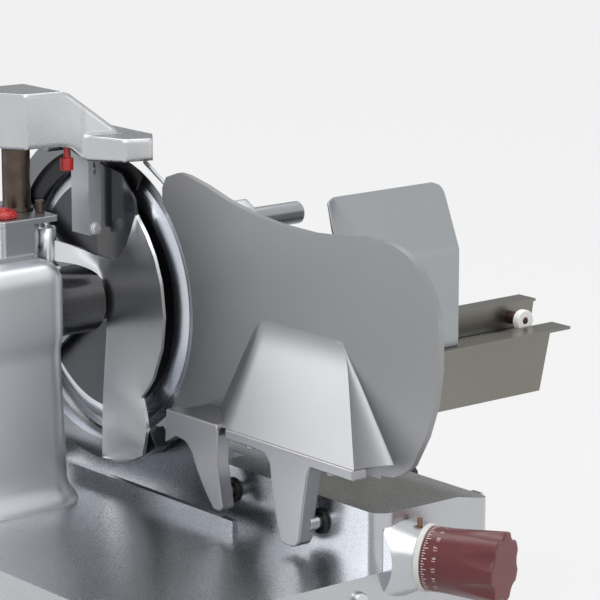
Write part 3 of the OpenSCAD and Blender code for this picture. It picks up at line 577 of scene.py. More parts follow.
@dataclass
class Ring:
    """Copies of a small block set evenly on a circle, by Geometry Nodes.

    Attributes:
        name: Name of the piece.
        finish: Its finish.
        count: Number of copies.
        radius: Radius of the circle in mm.
        size: Length, width and height of a copy in mm.
    """

    name: str
    finish: Finish
    count: int
    radius: float
    size: Point

    def tree(self) -> Tree:
        """Builds the tree with its named inputs."""
        tree = bpy.data.node_groups.new(f"{self.name}_copies", "GeometryNodeTree")
        tree.interface.new_socket("Geometry", in_out="OUTPUT", socket_type="NodeSocketGeometry")
        for name, kind in (("Count", "Int"), ("Radius", "Float"), ("Size", "Vector")):
            tree.interface.new_socket(name, in_out="INPUT", socket_type=f"NodeSocket{kind}")
        given = add_node(tree, "NodeGroupInput").outputs
        inputs = {"Vertices": given["Count"], "Radius": given["Radius"]}
        ring = add_node(tree, "GeometryNodeMeshCircle", links=inputs)
        block = add_node(tree, "GeometryNodeMeshCube", links={"Size": given["Size"]})
        place = add_node(tree, "GeometryNodeInputPosition")
        way = {"Vector": place.outputs[0]}
        turn = add_node(tree, "FunctionNodeAlignRotationToVector", {"axis": "X"}, way)
        inputs = {"Points": ring.outputs[0], "Instance": block.outputs["Mesh"], "Rotation": turn.outputs[0]}
        spread = add_node(tree, "GeometryNodeInstanceOnPoints", links=inputs)
        real = add_node(tree, "GeometryNodeRealizeInstances", links={0: spread.outputs[0]})
        surface = {"Material": self.finish.make()}
        dressed = add_node(tree, "GeometryNodeSetMaterial", surface, {"Geometry": real.outputs[0]})
        add_node(tree, "NodeGroupOutput", links={0: dressed.outputs[0]})
        return tree

    def build(self, place: Matrix) -> Piece:
        """Makes the copies as one plain mesh.

        Args:
            place: Turns the circle's own frame, with Z as its axis, into the row's metres.

        Returns:
            The piece.
        """
        tree = self.tree()
        piece = new_object(self.name, bpy.data.meshes.new(self.name))
        modifier = piece.modifiers.new("copies", "NODES")
        modifier.node_group = tree
        given = {"Count": self.count, "Radius": self.radius * MM, "Size": tuple(s * MM for s in self.size)}
        for item in tree.interface.items_tree:
            if item.name in given:
                modifier[item.identifier] = given[item.name]
        bake(piece)
        piece.data.transform(place)
        return soften(piece, min(self.size) * 0.12, 2, 40)


# Sub-assemblies


@dataclass
class Studio:
    """Pale floor, soft light and the camera of the photograph.

    Attributes:
        eye: The camera's place.
        azimuth: Degrees from X to the view's direction, seen from above.
        pitch: Degrees that the view looks down.
        focal_px: Focal length in pixels of the photograph.
        sensor: Width of the camera's sensor in mm.
        ground: Half the floor's width in metres.
        lamps: Name, place, target, width in metres and power in watts of each lamp.
    """

    eye: Point = (-2088.32, -2922.54, 792.48)
    azimuth: float = 50.72
    pitch: float = 12.6
    focal_px: float = 2978.19
    sensor: float = 36.0
    ground: float = 30.0
    lamps: tuple = (("key_lamp", (-900, -1900, 1700), (0, -200, 0), 2.2, 26),
                    ("top_lamp", (300, 300, 2200), (0, -200, 0), 1.8, 22),
                    ("right_lamp", (1500, -3200, -60), (0, -300, -60), 1.0, 3.5),
                    ("left_lamp", (-2300, 2200, 1300), (-30, -80, 0), 1.8, 34))

    def camera(self) -> None:
        """Sets the camera."""
        data = bpy.data.cameras.new("photo_camera")
        data.sensor_width = self.sensor
        data.lens = self.focal_px * self.sensor / PHOTO_WIDTH
        data.clip_end = 50
        camera = new_object("photo_camera", data)
        turn, down = math.radians(self.azimuth), math.radians(self.pitch)
        look = Vector((math.cos(turn) * math.cos(down), math.sin(turn) * math.cos(down), -math.sin(down)))
        camera.location = at(*self.eye)
        camera.rotation_euler = look.to_track_quat("-Z", "Y").to_euler()
        bpy.context.scene.camera = camera

    def seen(self, tree: Tree) -> Socket:
        """Returns 1 for the rays that show the backdrop: straight, mirrored or let through."""
        path = add_node(tree, "ShaderNodeLightPath").outputs
        level = path["Is Camera Ray"]
        for kind in ("Is Transmission Ray", "Is Glossy Ray"):
            node = add_node(tree, "ShaderNodeMath", {"operation": "MAXIMUM"}, {0: level, 1: path[kind]})
            level = node.outputs[0]
        return level

    def world(self) -> None:
        """Lights matt surfaces from a soft room and shows the pale backdrop to the camera and to mirrors."""
        world = bpy.data.worlds.new("soft_room")
        bpy.context.scene.world = world
        world.use_nodes = True
        tree = world.node_tree
        tree.nodes.clear()
        way = add_node(tree, "ShaderNodeTexCoord").outputs["Generated"]
        bright_side = {"operation": "DOT_PRODUCT", 1: (0.2, -0.2, 0.3)}
        side = add_node(tree, "ShaderNodeVectorMath", bright_side, {0: way}).outputs["Value"]
        level = add_node(tree, "ShaderNodeMath", {"operation": "ADD", "use_clamp": True, 1: 0.62}, {0: side})
        room = ramp_node(tree, level.outputs[0], 0.0, (0.05, 0.05, 0.055, 1), 1.0, (1, 1, 1, 1))
        lit = add_node(tree, "ShaderNodeBackground", {"Strength": 0.8}, {"Color": room})
        plain = add_node(tree, "ShaderNodeBackground", {"Color": linear(BACKDROP), "Strength": 1.0})
        layers = {0: self.seen(tree), 1: lit.outputs[0], 2: plain.outputs[0]}
        mix = add_node(tree, "ShaderNodeMixShader", links=layers)
        add_node(tree, "ShaderNodeOutputWorld", links={"Surface": mix.outputs[0]})

    def lamp(self, name: str, place: Point, target: Point, size: float, power: float) -> None:
        """Adds a square area lamp that looks at its target."""
        data = bpy.data.lights.new(name, "AREA")
        data.size = size
        data.energy = power
        lamp = new_object(name, data)
        lamp.location = at(*place)
        lamp.rotation_euler = (at(*target) - at(*place)).to_track_quat("-Z", "Y").to_euler()

    def face(self, name: str, corners: Sequence[Sequence[float]], material: bpy.types.Material) -> Piece:
        """Makes an object of one face with four corners in the row's metres."""
        mesh = bpy.data.meshes.new(name)
        mesh.from_pydata(corners, [], [(0, 1, 2, 3)])
        mesh.materials.append(material)
        return new_object(name, mesh)

    def floor(self) -> None:
        """Adds the pale floor, which keeps part of the machine's shadow."""
        material = new_material("pale_floor")
        tree = material.node_tree
        plain = add_node(tree, "ShaderNodeEmission", {"Color": linear(BACKDROP), "Strength": 1.06})
        matte = add_node(tree, "ShaderNodeBsdfDiffuse", {"Color": linear("#c9c9c9")})
        share = add_node(tree, "ShaderNodeMath", {"operation": "MULTIPLY", 1: 0.88}, {0: self.seen(tree)})
        layers = {0: share.outputs[0], 1: matte.outputs[0], 2: plain.outputs[0]}
        mix = add_node(tree, "ShaderNodeMixShader", links=layers)
        add_node(tree, "ShaderNodeOutputMaterial", links={"Surface": mix.outputs[0]})
        corners = [(x * self.ground, y * self.ground, 0) for x, y in ((-1, -1), (1, -1), (1, 1), (-1, 1))]
        floor = self.face("floor", corners, material)

    def flag(self, name: str, place: Point, width: float, height: float) -> None:
        """Adds a grey upright card that only mirrors show, to draw edges on polished metal.

        Args:
            name: Name of the card.
            place: Middle of its lower edge in mm from the knife's centre.
            width: Its width along X in metres.
            height: Its height in metres.
        """
        material = new_material(name)
        tree = material.node_tree
        cloth = add_node(tree, "ShaderNodeEmission", {"Color": linear("#9a9b9f"), "Strength": 1.0})
        add_node(tree, "ShaderNodeOutputMaterial", links={"Surface": cloth.outputs[0]})
        low, across, up = at(*place), Vector((width / 2, 0, 0)), Vector((0, 0, height))
        card = self.face(name, [low - across, low + across, low + across + up, low - across + up], material)
        card.visible_camera = False
        card.visible_diffuse = False
        card.visible_transmission = False
        card.visible_shadow = False

    def build(self) -> None:
        """Builds the studio."""
        view = bpy.context.scene.view_settings
        view.view_transform = "Standard"
        self.camera()
        self.world()
        self.floor()
        self.flag("back_flag", (700, 1100, -345), 2.6, 1.3)
        for lamp in self.lamps:
            self.lamp(*lamp)


@dataclass
class Base:
    """Base casting with its rubber feet, bottom cover, inlet and push buttons."""

    round_mm: float = 5.0

    def build(self) -> None:
        """Builds and dresses the base."""
        dress(("base_casting", CASTING, self.round_mm), ("bottom_cover", COVER, 0.8), ("feet", RUBBER, 2.0),
              ("power_inlet", BLACK, 1.2), ("start_button", CHROME, 1.6), ("stop_button", RED, 1.6))


@dataclass
class Column:
    """Cast column with a shoulder, a waist and a foot that flares on to the deck.

    Attributes:
        flange: Distance of the plain column from the sides of the CAD solid's box.
        foot: Width of the flare at the deck.
        skirt: Width of the long soft flare above it.
        shoulder: Distance that the shoulder stands out.
        sunk: Depth of the waist in the plain column.
        corner: Radius of the upright corners.
        crown: Radius of the top edge.
    """

    flange: float = 10.0
    foot: float = 13.0
    skirt: float = 5.0
    shoulder: float = 3.5
    sunk: float = 4.0
    corner: float = 34.0
    crown: float = 26.0

    def offset(self, up: float, height: float) -> float:
        """Returns how far the skin stands out of the plain column at a height above the foot."""
        flare = self.foot * (1 - smooth_step(up, 0, 26)) + self.skirt * (1 - smooth_step(up, 20, 190))
        shoulder = self.shoulder * smooth_step(up, height - 110, height - 84)
        edge = max(0.0, self.crown - (height - up))
        return flare + shoulder - self.sunk - (self.crown - math.sqrt(max(0.0, self.crown ** 2 - edge ** 2)))

    def build(self) -> None:
        """Builds the column's skin."""
        low, high = (local(c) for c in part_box("column"))
        height = high.z - low.z
        rings = []
        levels = [0, 3, 7, 12, 18, 26, 45, 75, 110, 150]
        levels += [height - down for down in (116, 108, 97, 86, 60, 26, 19, 12, 6, 2.5, 0)]
        for up in levels:
            out = self.offset(up, height)
            inset = self.flange - out
            sides = (low.x + inset, high.x - inset, low.y + inset, high.y - inset)
            rings.append(rounded_ring(sides, max(12.0, self.corner + out), low.z + up, 10))
        # The skin takes the lighter copy of the casting colour, which is painted light
        mount(loft("column_skin", SATIN_PAINTED_LIGHT_COLUMN, rings, 50), "frame", SATIN_PAINTED_LIGHT_COLUMN, "column")


@dataclass
class Drive:
    """Motor, belt, pulleys, shaft and bearings inside the column, and the release knob behind it.

    Attributes:
        grips: Number of ribs round the release knob.
        rib: Thickness, width and length of a rib.
    """

    grips: int = 24
    rib: Point = (1.0, 2.2, 14.0)

    def build(self) -> None:
        """Builds and dresses the drive."""
        dress(("motor", MOTOR, 1.2), ("motor_shaft", SHAFT, 0.6), ("motor_pulley", PULLEY, 0.5),
              ("knife_pulley", PULLEY, 0.5), ("drive_belt", BELT, 0.8), ("knife_shaft", SHAFT, 0.6),
              ("hub_housing", HOUSING, 2.0), ("bearings", SHAFT, 0.8), ("tie_rod", SCREW, 0.6),
              ("tie_knob", BLACK, 1.5))
        low, high = (local(c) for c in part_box("tie_knob"))
        ribs = Ring("release_knob_ribs", BLACK, self.grips, (high.y - low.y) / 2 - 0.2, self.rib)
        place = Matrix.Translation(at(low.x + 11, 0, 0)) @ Matrix.Rotation(math.radians(90), 4, "Y")
        mount(ribs.build(place), "release_knob", BLACK)


@dataclass
class KnifeUnit:
    """Round knife, its screws and cover disc, the ring guard and the dark pad.

    Attributes:
        hub_t: Distance of the hub's left face from the rear plane.
        bore: Radius of the bore.
        band: Inner radius of the hollow band, as a share of the knife's radius.
        bevel: The same of the ground bevel.
        slope: Distance that the band falls back over its width.
        lip_r: Inner and outer radius of the ring guard's lip.
        lip_x: x of its left and right face.
        lip_turn: Degrees from the machine's back at which it starts and ends.
    """

    hub_t: float = 8.0
    bore: float = 8.0
    band: float = 0.812
    bevel: float = 0.931
    slope: float = 5.6
    lip_r: tuple = (160.0, 182.0)
    lip_x: tuple = (-14.0, -11.0)
    lip_turn: tuple = (-20.0, 118.0)

    def build(self) -> None:
        """Builds and dresses the knife and what guards it."""
        self.knife()
        dress(("knife_screws", SCREW, 0.5), ("cover_disc", RING, 0.5), ("ring_guard", GUARD_RING, 2.0))
        self.lip()
        dress(("guard_pad", PAD, 1.5))

    def lip(self) -> None:
        """Builds the lip of the ring guard that covers the knife's edge; its dark colour is painted shade."""
        (inner, outer), (left, right) = self.lip_r, self.lip_x
        section = ((left, inner), (left, outer), (right, outer), (right, inner))
        start, end = self.lip_turn
        turns = [math.radians(start + (end - start) * i / 48) for i in range(49)]
        rings = [[(x, r * math.cos(turn), r * math.sin(turn)) for x, r in section] for turn in turns]
        mount(loft("guard_lip", PAINTED_SHADE_LIP, rings, 40), body_of("ring_guard"), PAINTED_SHADE_LIP)

    def knife(self) -> None:
        """Turns the knife with a hollow-ground band and a thin edge."""
        rim, inner = KNIFE_RADIUS * self.bevel, KNIFE_RADIUS * self.band
        profile = [(radius, -self.hub_t) for radius in (self.bore, 60, 120, inner)]
        for i in range(1, 9):
            t = i / 8
            profile.append((inner + (rim - inner) * t, -self.hub_t + self.slope * t * t))
        profile += [(rim + 0.8, -2.0), (KNIFE_RADIUS, -0.4), (KNIFE_RADIUS, 0.0), (inner + 1, 0.0),
                    (inner - 1, -4.0), (60, -4.0), (self.bore, -4.0)]
        rings = [[(x, y, z) for y, z in circle(radius, 192)] for radius, x in profile]
        piece = loft("knife_disc", KNIFE, rings, 9, closed=True)
        # The faces inside the band get the dark centre finish: a painted reflection of the dark housing
        piece.data.materials.append(PAINTED_REFLECTION_HUB.make())
        for face in piece.data.polygons:
            spot = local(face.center)
            if spot.x < -self.hub_t + 0.5 and math.hypot(spot.y, spot.z) < inner:
                face.material_index = 1
        mount(piece, "knife_group", KNIFE, "knife")


@dataclass
class Deflector:
    """Slice deflector: a pressed plate beside the knife on an arm that swings on an upright pin.

    Attributes:
        thick: Thickness of the plate.
        face: x of its middle.
        bow: Depth of the hollow across it.
        roll: Distance that its lower edge rolls to the left.
        knife_side: Height and y of the edge beside the knife.
        hub_side: The same of the edge towards the hub.
        web_top: Height up to which the arm grows out of the plate.
        web_low: Share of the way to the barrel and height of the arm's lower edge.
        web_high: The same of its upper edge.
        barrel_r: Inner and outer radius of the barrel.
        barrel_z: Heights of its ends.
    """

    thick: float = 4.0
    face: float = -28.5
    bow: float = 3.0
    roll: float = 7.0
    knife_side: tuple = ((-200, -26), (-196, -58), (-186, -96), (-177, -114), (-160, -119), (-142, -121),
                         (-125, -113), (-108, -104), (-80, -127), (-40, -144.6), (0, -150), (40, -144.6),
                         (70, -132.7), (95, -116), (108, -104), (115, -96))
    hub_side: tuple = ((-200, -20), (-120, -24), (-30, -34), (20, -36), (38, -43), (54, -52), (66, -66),
                       (78, -77), (96, -86), (115, -93))
    web_top: float = 54.0
    web_low: tuple = ((0, 0), (0.1, 9), (0.2, 19), (0.35, 33), (0.5, 39), (0.7, 46), (0.85, 50), (1, 53))
    web_high: tuple = ((0, 54), (0.25, 55), (0.5, 60), (0.75, 69), (1, 79))
    barrel_r: tuple = (5.1, 13.0)
    barrel_z: tuple = (47.4, 94.6)

    def depth(self, share: float, up: float) -> float:
        """Returns x of the plate's middle at a share of its width and a height."""
        hollow = self.bow * 4 * share * (1 - share)
        return self.face + hollow - self.roll * smooth_step(-up, 105, 165) * (1 - share)

    def web(self, hub_y: float, up: float, hinge: Vector) -> list[Point]:
        """Returns points of the arm from the plate's inner edge to the barrel, starting at a height."""
        share = up / self.web_top
        x0 = self.depth(1, up)
        ways = [(x0, hub_y), (x0, hub_y + 12), (-50, -24), (hinge.x + 5, hinge.y - 9)]
        row = []
        for i in range(17):
            q = i / 16
            weights = ((1 - q) ** 3, 3 * q * (1 - q) ** 2, 3 * q * q * (1 - q), q ** 3)
            x, y = (sum(w * way[k] for w, way in zip(weights, ways)) for k in (0, 1))
            low, high = between(q, self.web_low), between(q, self.web_high)
            row.append((x, y, low + share * (high - low)))
        return row

    def build(self) -> None:
        """Builds the plate with its arm, the barrel and the pin."""
        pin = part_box("deflector_pin")
        hinge = (local(pin[0]) + local(pin[1])) / 2
        plate, arm = [], []
        for up in [-200, -196, -186, -177, -168, -160, -150, -142, -133, -125, -116, -108, -95, -80, -60, -40,
                   -20, 0, 9, 18, 27, 36, 45, self.web_top, 60, 66, 72, 78, 86, 95, 102, 108, 112, 115]:
            start, end = between(up, self.knife_side), between(up, self.hub_side)
            row = [(self.depth(i / 12, up), start + (end - start) * i / 12, up) for i in range(13)]
            plate.append(row)
            if 0 <= up <= self.web_top:
                arm.append([row[-1]] + self.web(end, up, hinge)[1:])
        piece = sheet("deflector_plate", DEFLECTOR, [plate, arm], self.thick)
        mount(piece, "deflector", DEFLECTOR, "slice_deflector")
        self.barrel(hinge)
        dress(("deflector_pin", CHROME, 1.0))

    def barrel(self, hinge: Vector) -> None:
        """Turns the barrel that swings on the pin."""
        (bore, outer), (low, high) = self.barrel_r, self.barrel_z
        edge = 1.5
        profile = ((bore, low), (outer - edge, low), (outer, low + edge), (outer, high - edge),
                   (outer - edge, high), (bore, high))
        rings = [[(hinge.x + x, hinge.y + y, z) for x, y in circle(radius, 64)] for radius, z in profile]
        mount(loft("deflector_barrel", DEFLECTOR, rings, 46, closed=True), "deflector", DEFLECTOR)


@dataclass
class Gauge:
    """Gauge plate with its wedge, the bracket with two legs, bolts, guide shafts and seals.

    Attributes:
        face: x of the plate's left face.
        proud: Distance that the wedge's lower edge stands out of the plate.
        ease: Share of the wedge's height over which it swells out of the plate.
        top: Height at which the wedge dies out.
        low: Height of its lower edge.
        far: y of its front edge away from the knife, above and below.
        far_foot: The same where that flank meets the plate.
        near: y of its front edge beside the knife, above and below.
        near_foot: The same where that flank meets the plate.
        rear_leg: Outline of the leg beside the knife, with its lug.
        front_leg: Outline of the other leg, with the lip under the wedge.
        web: Outline of the web behind the lip.
        bolts: y of the bolts under the lip.
        head: Radius and height of the rings of a bolt's head.
        open_x: x at which the guide shafts end in the legs.
    """

    face: float = -8.0
    proud: float = 48.0
    ease: float = 0.3
    top: float = 30.0
    low: float = -100.0
    far: tuple = (-448.5, -531.0)
    far_foot: tuple = (-449.5, -538.0)
    near: tuple = (-308.0, -294.0)
    near_foot: tuple = (-307.0, -228.0)
    rear_leg: tuple = ((-198, -96), (-294, -96), (-297, -104), (-294.5, -143), (-305, -194), (-299, -199),
                       (-288, -199), (-270, -178), (-256, -157), (-247, -139), (-236, -129), (-216, -126),
                       (-195, -138))
    front_leg: tuple = ((-303, -100), (-531, -100), (-531, -113), (-457, -113), (-452, -124), (-438, -203),
                        (-433, -210), (-424, -213), (-406, -212), (-398, -190), (-389, -155), (-385, -124),
                        (-377, -114), (-350, -112), (-303, -112))
    web: tuple = ((-205, -98), (-505, -100), (-505, -112), (-205, -112))
    bolts: tuple = (-338.0, -392.0, -482.0)
    head: tuple = ((6.2, -112.0), (6.2, -117.2), (5.6, -118.0))
    open_x: float = -45.5

    def section(self, up: float) -> list[Point]:
        """Returns the wedge's section at a height, from the far foot over its face to the near foot."""
        share = (self.top - up) / (self.top - self.low)
        rise = share ** 2 / (2 * self.ease) if share < self.ease else share - self.ease / 2
        depth = self.proud * rise / (1 - self.ease / 2)
        far, far_foot, near, near_foot = (a + (b - a) * share for a, b in
                                          (self.far, self.far_foot, self.near, self.near_foot))
        line = []
        for i in range(9):
            q = 1 - i / 8
            line.append((far + (far_foot - far - 5 * share) * q ** 2, depth * (1 - q) ** 1.25))
        line += [(far + (near - far) * i / 12, depth) for i in range(1, 12)]
        line += [(near + (near_foot - near) * q, depth * (1 - q) ** 1.1) for q in (0, 0.25, 0.5, 0.75, 1)]
        return [(self.face + 0.3 - out * (1 + 0.3 / self.proud), y, up) for y, out in line]

    def wedge(self) -> None:
        """Builds the wedge, which grows out of the plate without an edge at its top."""
        rows = [self.section(self.top + (self.low - self.top) * i / 24) for i in range(25)]
        rings = [[*row, *((self.face + 2, y, up) for _, y, up in reversed(row))] for row in rows]
        mount(loft("gauge_wedge", GAUGE, rings, 50), "gauge", GAUGE)

    def bracket(self) -> None:
        """Builds the bracket: two legs, a lip under the wedge, the web behind it and the bolts."""
        rear = upright_plate("bracket_rear_leg", self.rear_leg, (-64, -45), 2.2)
        mount(rear, "gauge", BRACKET, "gauge_bracket")
        mount(upright_plate("bracket_front_leg", self.front_leg, (-58, -37), 2.2), "gauge", BRACKET)
        mount(upright_plate("bracket_web", self.web, (-50, self.face - 0.1), 1.5), "gauge", BRACKET)
        for number, middle in enumerate(self.bolts):
            rings = [[(x - 47, y + middle, z) for x, y in circle(radius, 6)] for radius, z in self.head]
            head = soften(loft(f"bracket_bolt_{number}", SCREW, rings), 0.5, 2)
            mount(head, "gauge", SCREW, *(["bracket_bolts"] if number == 0 else []))

    def build(self) -> None:
        """Builds and dresses the gauge."""
        left = (-1, 0, 0)
        dressed_copy("gauge_plate", GAUGE, 2.4, cut=((self.face - 0.02, 0, 0), left))
        self.wedge()
        self.bracket()
        dressed_copy("guide_shafts", SHAFT, 0.6, cut=((self.open_x, 0, 0), left))
        dress(("shaft_seals", SEAL, 1.0), ("cam_follower", SCREW, 1.0))


@dataclass
class Dial:
    """Thickness knob with its scale, pale collar ring, index pin and cam shaft.

    Attributes:
        skirt_r: Radius of the skirt that carries the scale.
        end_r: Radius at the outer end.
        skirt_l: Length of the skirt.
        length: Length of the knob.
        gap: Distance of its back from the joint.
        flutes: Number of flutes.
        flute_r: Radius of a flute.
        zero: Angle of the mark 0, in degrees from the right.
        marks: Number of numbered marks.
        letter: Height of the numbers and their distance from the back.
        yaw: Degrees that the knob is turned away from the front.
        ups: Distances from the back of the rings of its side.
        rim: Inset and distance from the back of the rings that round its end.
    """

    skirt_r: float = 36.5
    end_r: float = 41.0
    skirt_l: float = 22.0
    length: float = 88.0
    gap: float = 3.5
    flutes: int = 7
    flute_r: float = 20.0
    zero: float = 107.0
    marks: int = 19
    letter: tuple = (6.4, 19.0)
    yaw: float = 25.0
    ups: tuple = (0.7, 4, 10, 16, 22, 27.9, 28.2, 31, 35, 40, 46, 52, 58, 64, 70, 76, 82, 85.5)
    rim: tuple = ((0.3, 86.9), (1.1, 87.7), (2.2, 88.0), (8, 88.0), (20, 88.0))

    def place(self) -> Matrix:
        """Returns the knob's own frame: Z out of the machine, X right, Y up, in mm."""
        joint = next(j for j in frame["record"]["behaviour"]["joints"] if j["name"] == "thickness_turn")
        base = Matrix.Translation(Vector(joint["pos_m"]))
        turn = Matrix.Rotation(math.radians(self.yaw), 4, "Z") @ Matrix.Rotation(math.radians(90), 4, "X")
        return base @ turn @ Matrix.Scale(MM, 4)

    def radius(self, turn: float, up: float) -> float:
        """Returns the knob's radius at an angle and a distance from its back."""
        rise = max(0.0, up - self.skirt_l) / (self.length - self.skirt_l)
        plain = self.skirt_r + (self.end_r - self.skirt_r) * rise
        start = self.skirt_l + 6
        centre = self.end_r + self.flute_r - 2 - math.tan(math.radians(3)) * (up - start)
        pitch = 2 * math.pi / self.flutes
        off = (turn + pitch / 2) % pitch - pitch / 2
        side = centre * math.sin(off)
        if up <= start or abs(side) >= self.flute_r:
            return plain
        return min(plain, centre * math.cos(off) - math.sqrt(self.flute_r ** 2 - side ** 2))

    def knob(self, frame_of: Matrix) -> None:
        """Builds the fluted knob as one skin with a soft edge and a flat end."""
        steps = 252
        rows = [(0.7, 0.0, 0.0), *((0.0, up, up) for up in self.ups)]
        rows += [(inset, up, self.length) for inset, up in self.rim]
        points = []
        for inset, up, level in rows:
            for i in range(steps):
                turn = 2 * math.pi * i / steps
                reach = self.radius(turn, level) - inset
                place = (reach * math.cos(turn), reach * math.sin(turn), self.gap + up)
                points.append(frame_of @ Vector(place))
        piece = add_piece("knob_body", points, ring_faces(len(rows), steps), MAROON)
        piece.data.materials.append(MAROON_END.make())
        out = (frame_of.to_3x3() @ Vector((0, 0, 1))).normalized()
        for face in piece.data.polygons:
            if face.normal.dot(out) > 0.97:
                face.material_index = 1
        sharpen(piece, 32)
        mount(piece, "thickness_dial", MAROON, "thickness_knob")

    def ticks(self, frame_of: Matrix) -> None:
        """Sets the scale's marks: long at each number, shorter at halves and quarters."""
        back = Matrix.Scale(1 / MM, 4)
        for name, count, long, shift in (("number_marks", 1, 6.0, 0.0), ("half_marks", 1, 4.0, 0.5),
                                         ("quarter_marks", 2, 2.4, 0.25)):
            ring = Ring(name, MARKING, self.marks * count, self.skirt_r, (0.24, 0.9, long))
            turned = Matrix.Rotation(math.radians(self.zero + 360 / self.marks * shift), 4, "Z")
            raised = Matrix.Translation(Vector((0, 0, self.gap + 2.2 + long / 2)))
            mount(ring.build(frame_of @ raised @ turned @ back), "thickness_dial", MARKING)

    def numbers(self, frame_of: Matrix) -> None:
        """Prints the numbers round the skirt, reading upwards on the operator's side."""
        height, base_up = self.letter
        reach = self.skirt_r + 0.12
        points, faces = [], []
        for mark in range(self.marks):
            curve = bpy.data.curves.new(f"number_{mark}", "FONT")
            curve.body = str(mark)
            curve.size = height
            curve.align_x = "CENTER"
            curve.resolution_u = 3
            holder = new_object("number_text", curve)
            view = bpy.context.evaluated_depsgraph_get()
            mesh = bpy.data.meshes.new_from_object(holder.evaluated_get(view))
            first = len(points)
            middle = math.radians(self.zero - 360 / self.marks * mark)
            for vertex in mesh.vertices:
                turn = middle - vertex.co.x / self.skirt_r
                up = self.gap + base_up - vertex.co.y
                points.append(frame_of @ Vector((reach * math.cos(turn), reach * math.sin(turn), up)))
            faces += [[first + v for v in face.vertices] for face in mesh.polygons]
            bpy.data.objects.remove(holder)
            bpy.data.curves.remove(curve)
            bpy.data.meshes.remove(mesh)
        mesh = bpy.data.meshes.new("knob_numbers")
        mesh.from_pydata([tuple(p) for p in points], [], faces)
        mesh.materials.append(MARKING.make())
        mount(new_object("knob_numbers", mesh), "thickness_dial", MARKING)

    def build(self) -> None:
        """Builds the knob and what belongs to it."""
        frame_of = self.place()
        self.knob(frame_of)
        self.ticks(frame_of)
        self.numbers(frame_of)
        dress(("collar_ring", COLLAR, 1.0), ("index_pin", BRASS, 0.6), ("cam_shaft", SCREW, 0.6))


@dataclass
class Carriage:
    """Rod, slider, arm, product channel with its rollers, table and hand guard.

    Attributes:
        guard_t: Thickness of the hand guard's sheet.
        bend: Height above its lower edge from which it leans.
        lean: Distance that its top leans back.
        left: Distance of its plain left edge from the box of the CAD solid.
        curl: Distances that the curled edge goes to the left and to the front.
        fold: Distance that the fold moves right on its way down.
        trim: Distance that the right edge comes in towards the top.
        corner: Radius of the upper right corner.
    """

    guard_t: float = 3.0
    bend: float = 120.0
    lean: float = 20.0
    left: float = 23.0
    curl: tuple = (22.0, 15.0)
    fold: float = 26.0
    trim: float = 12.0
    corner: float = 16.0

    def guard(self) -> None:
        """Builds the hand guard: upright below, leaning back above, its left edge curled forward."""
        low, high = (local(c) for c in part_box("hand_guard"))
        x0, z0, z1 = low.x + self.left, low.z, high.z
        y = low.y + 4 + self.guard_t / 2
        bend = z0 + self.bend
        rows = []
        levels = [z0, z0 + 30, z0 + 70]
        levels += [bend + up for up in (-14, -6, 0, 6, 14, 26, 38, 50, 60, 68, 74, 78)]
        for z in [*levels, z1]:
            share = max(0.0, z - bend) / (z1 - bend)
            back = self.lean * share
            top = max(0.0, z - (z1 - self.corner)) / self.corner
            right = high.x - self.trim * share - self.corner * (1 - math.sqrt(max(0.0, 1 - top ** 2)))
            curl = smooth_step(z, bend + 26, bend + 42)
            fold_x = x0 + self.fold * (1 - smooth_step(z, bend + 34, z1)) * 0.9
            left = x0 - self.curl[0] * curl
            row = []
            for i in range(9):
                t = i / 8
                drop = self.curl[1] * curl * (1 - t) ** 1.2
                row.append((left + (fold_x - left) * t, y + back - drop, z - 2.0 * curl * (1 - t)))
            row += [(fold_x + (right - fold_x) * i / 10, y + back, z) for i in range(1, 11)]
            rows.append(row)
        piece = sheet("guard_sheet", GUARD, [rows], self.guard_t, 1.2)
        mount(piece, "carriage", GUARD, "hand_guard")

    def build(self) -> None:
        """Builds and dresses the carriage."""
        dress(("carriage_rod", SHAFT, 1.0), ("carriage_slider", CASTING, 2.5), ("slider_bushes", BRONZE, 0.8),
              ("guide_roller", WHEEL, 1.0), ("carriage_arm", CASTING, 4.0), ("arm_cover", BLACK, 3.0),
              ("product_channel", CHANNEL, 1.2), ("product_table", CASTING, 1.5),
              ("outer_roller", NYLON, 1.6), ("inner_roller", NYLON, 1.6), ("roller_bolts", BOLT, 0.8))
        self.guard()


class Pusher:
    """Sled in the channel, arm, plate with studs and the tubular handle."""

    def build(self) -> None:
        """Builds and dresses the pusher."""
        dress(("pusher_sled", CASTING, 1.5), ("pusher_arm", HEAD_CASTING, 3.0), ("pusher_plate", PLATE, 1.0),
              ("pusher_handle", HANDLE, 2.5))


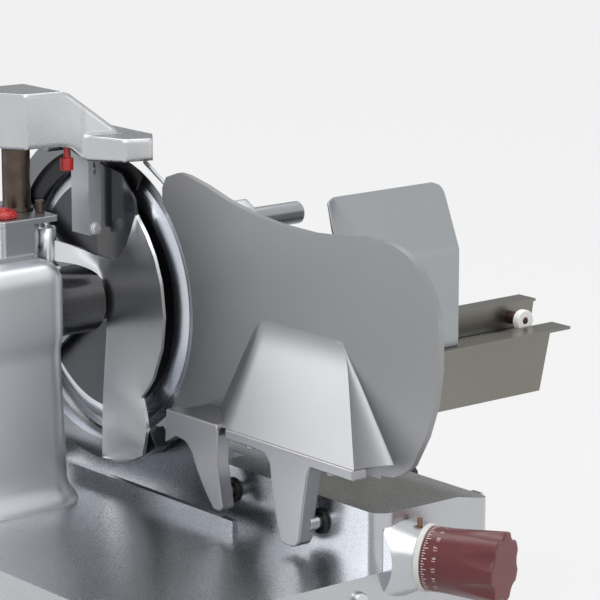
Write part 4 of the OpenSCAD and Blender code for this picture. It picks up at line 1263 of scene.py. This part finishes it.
@dataclass
class Sharpener:
    """Sharpener over the knife: block, post, cast head, hanging strip, stones, button and levers.

    Attributes:
        slab: Left, right, front and back of the slab on the block.
        slab_z: Heights of its underside and top.
        corner: Point on the plane that cuts the block's corner, to clear the deflector's arm.
        slope: Direction in which that plane cuts.
        nose: Plan of what is cut away above the head's nose.
        nose_z: Height from which it is cut at the nose's root, and where the cutter ends.
        nose_rise: Height that the nose's top gains per mm towards its root.
    """

    slab: tuple = (-186.5, -105.5, -45.5, 74.5)
    slab_z: tuple = (110.5, 118.0)
    corner: Point = (-145.0, -50.0, 0.0)
    slope: Point = (0.774, -0.633, 0.0)
    nose: tuple = ((-75, -34), (-60.2, -34.3), (0, -43.3), (30, -40.5), (30, -100), (-75, -100))
    nose_z: tuple = (209.88, 280.0)
    nose_rise: float = 0.08

    def block(self) -> None:
        """Builds the block with its cut corner and the slab that carries the post."""
        dressed_copy("sharpener_base", BLOCK, 1.2, cut=(self.corner, self.slope))
        slab = loft("sharpener_slab", BLOCK, [rounded_ring(self.slab, 5, z) for z in self.slab_z])
        mount(soften(slab, 1.2), body_of("sharpener_base"), BLOCK)

    def head(self) -> None:
        """Copies the head with a step above its nose."""
        low, high = self.nose_z
        floor = [(x, y, low + y * self.nose_rise) for x, y in self.nose]
        above = loft("above_the_nose", HEAD_CASTING, [floor, [(x, y, high) for x, y in self.nose]])
        dressed_copy("sharpener_head", HEAD_CASTING, 4.5, cutter=above)

    def build(self) -> None:
        """Builds and dresses the sharpener."""
        self.block()
        dress(("sharpener_post", POST, 1.0))
        self.head()
        dress(("hanging_strip", STRIP, 0.7), ("strip_rivet", RIVET, 1.5),
              ("grinding_stone", BROWN_STONE, 0.8), ("deburring_stone", WHITE_STONE, 0.8),
              ("sharpener_button", RED, 1.8), ("release_lever", STRIP, 0.7), ("head_lock", RED, 1.5))


def main() -> None:
    """Builds every sub-assembly in order."""
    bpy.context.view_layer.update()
    for part in (Studio(), Base(), Column(), Drive(), KnifeUnit(), Deflector(), Gauge(), Dial(), Carriage(),
                 Pusher(), Sharpener()):
        part.build()
        LOG.info("%s done", type(part).__name__)


if __name__ == "__main__":
    main()
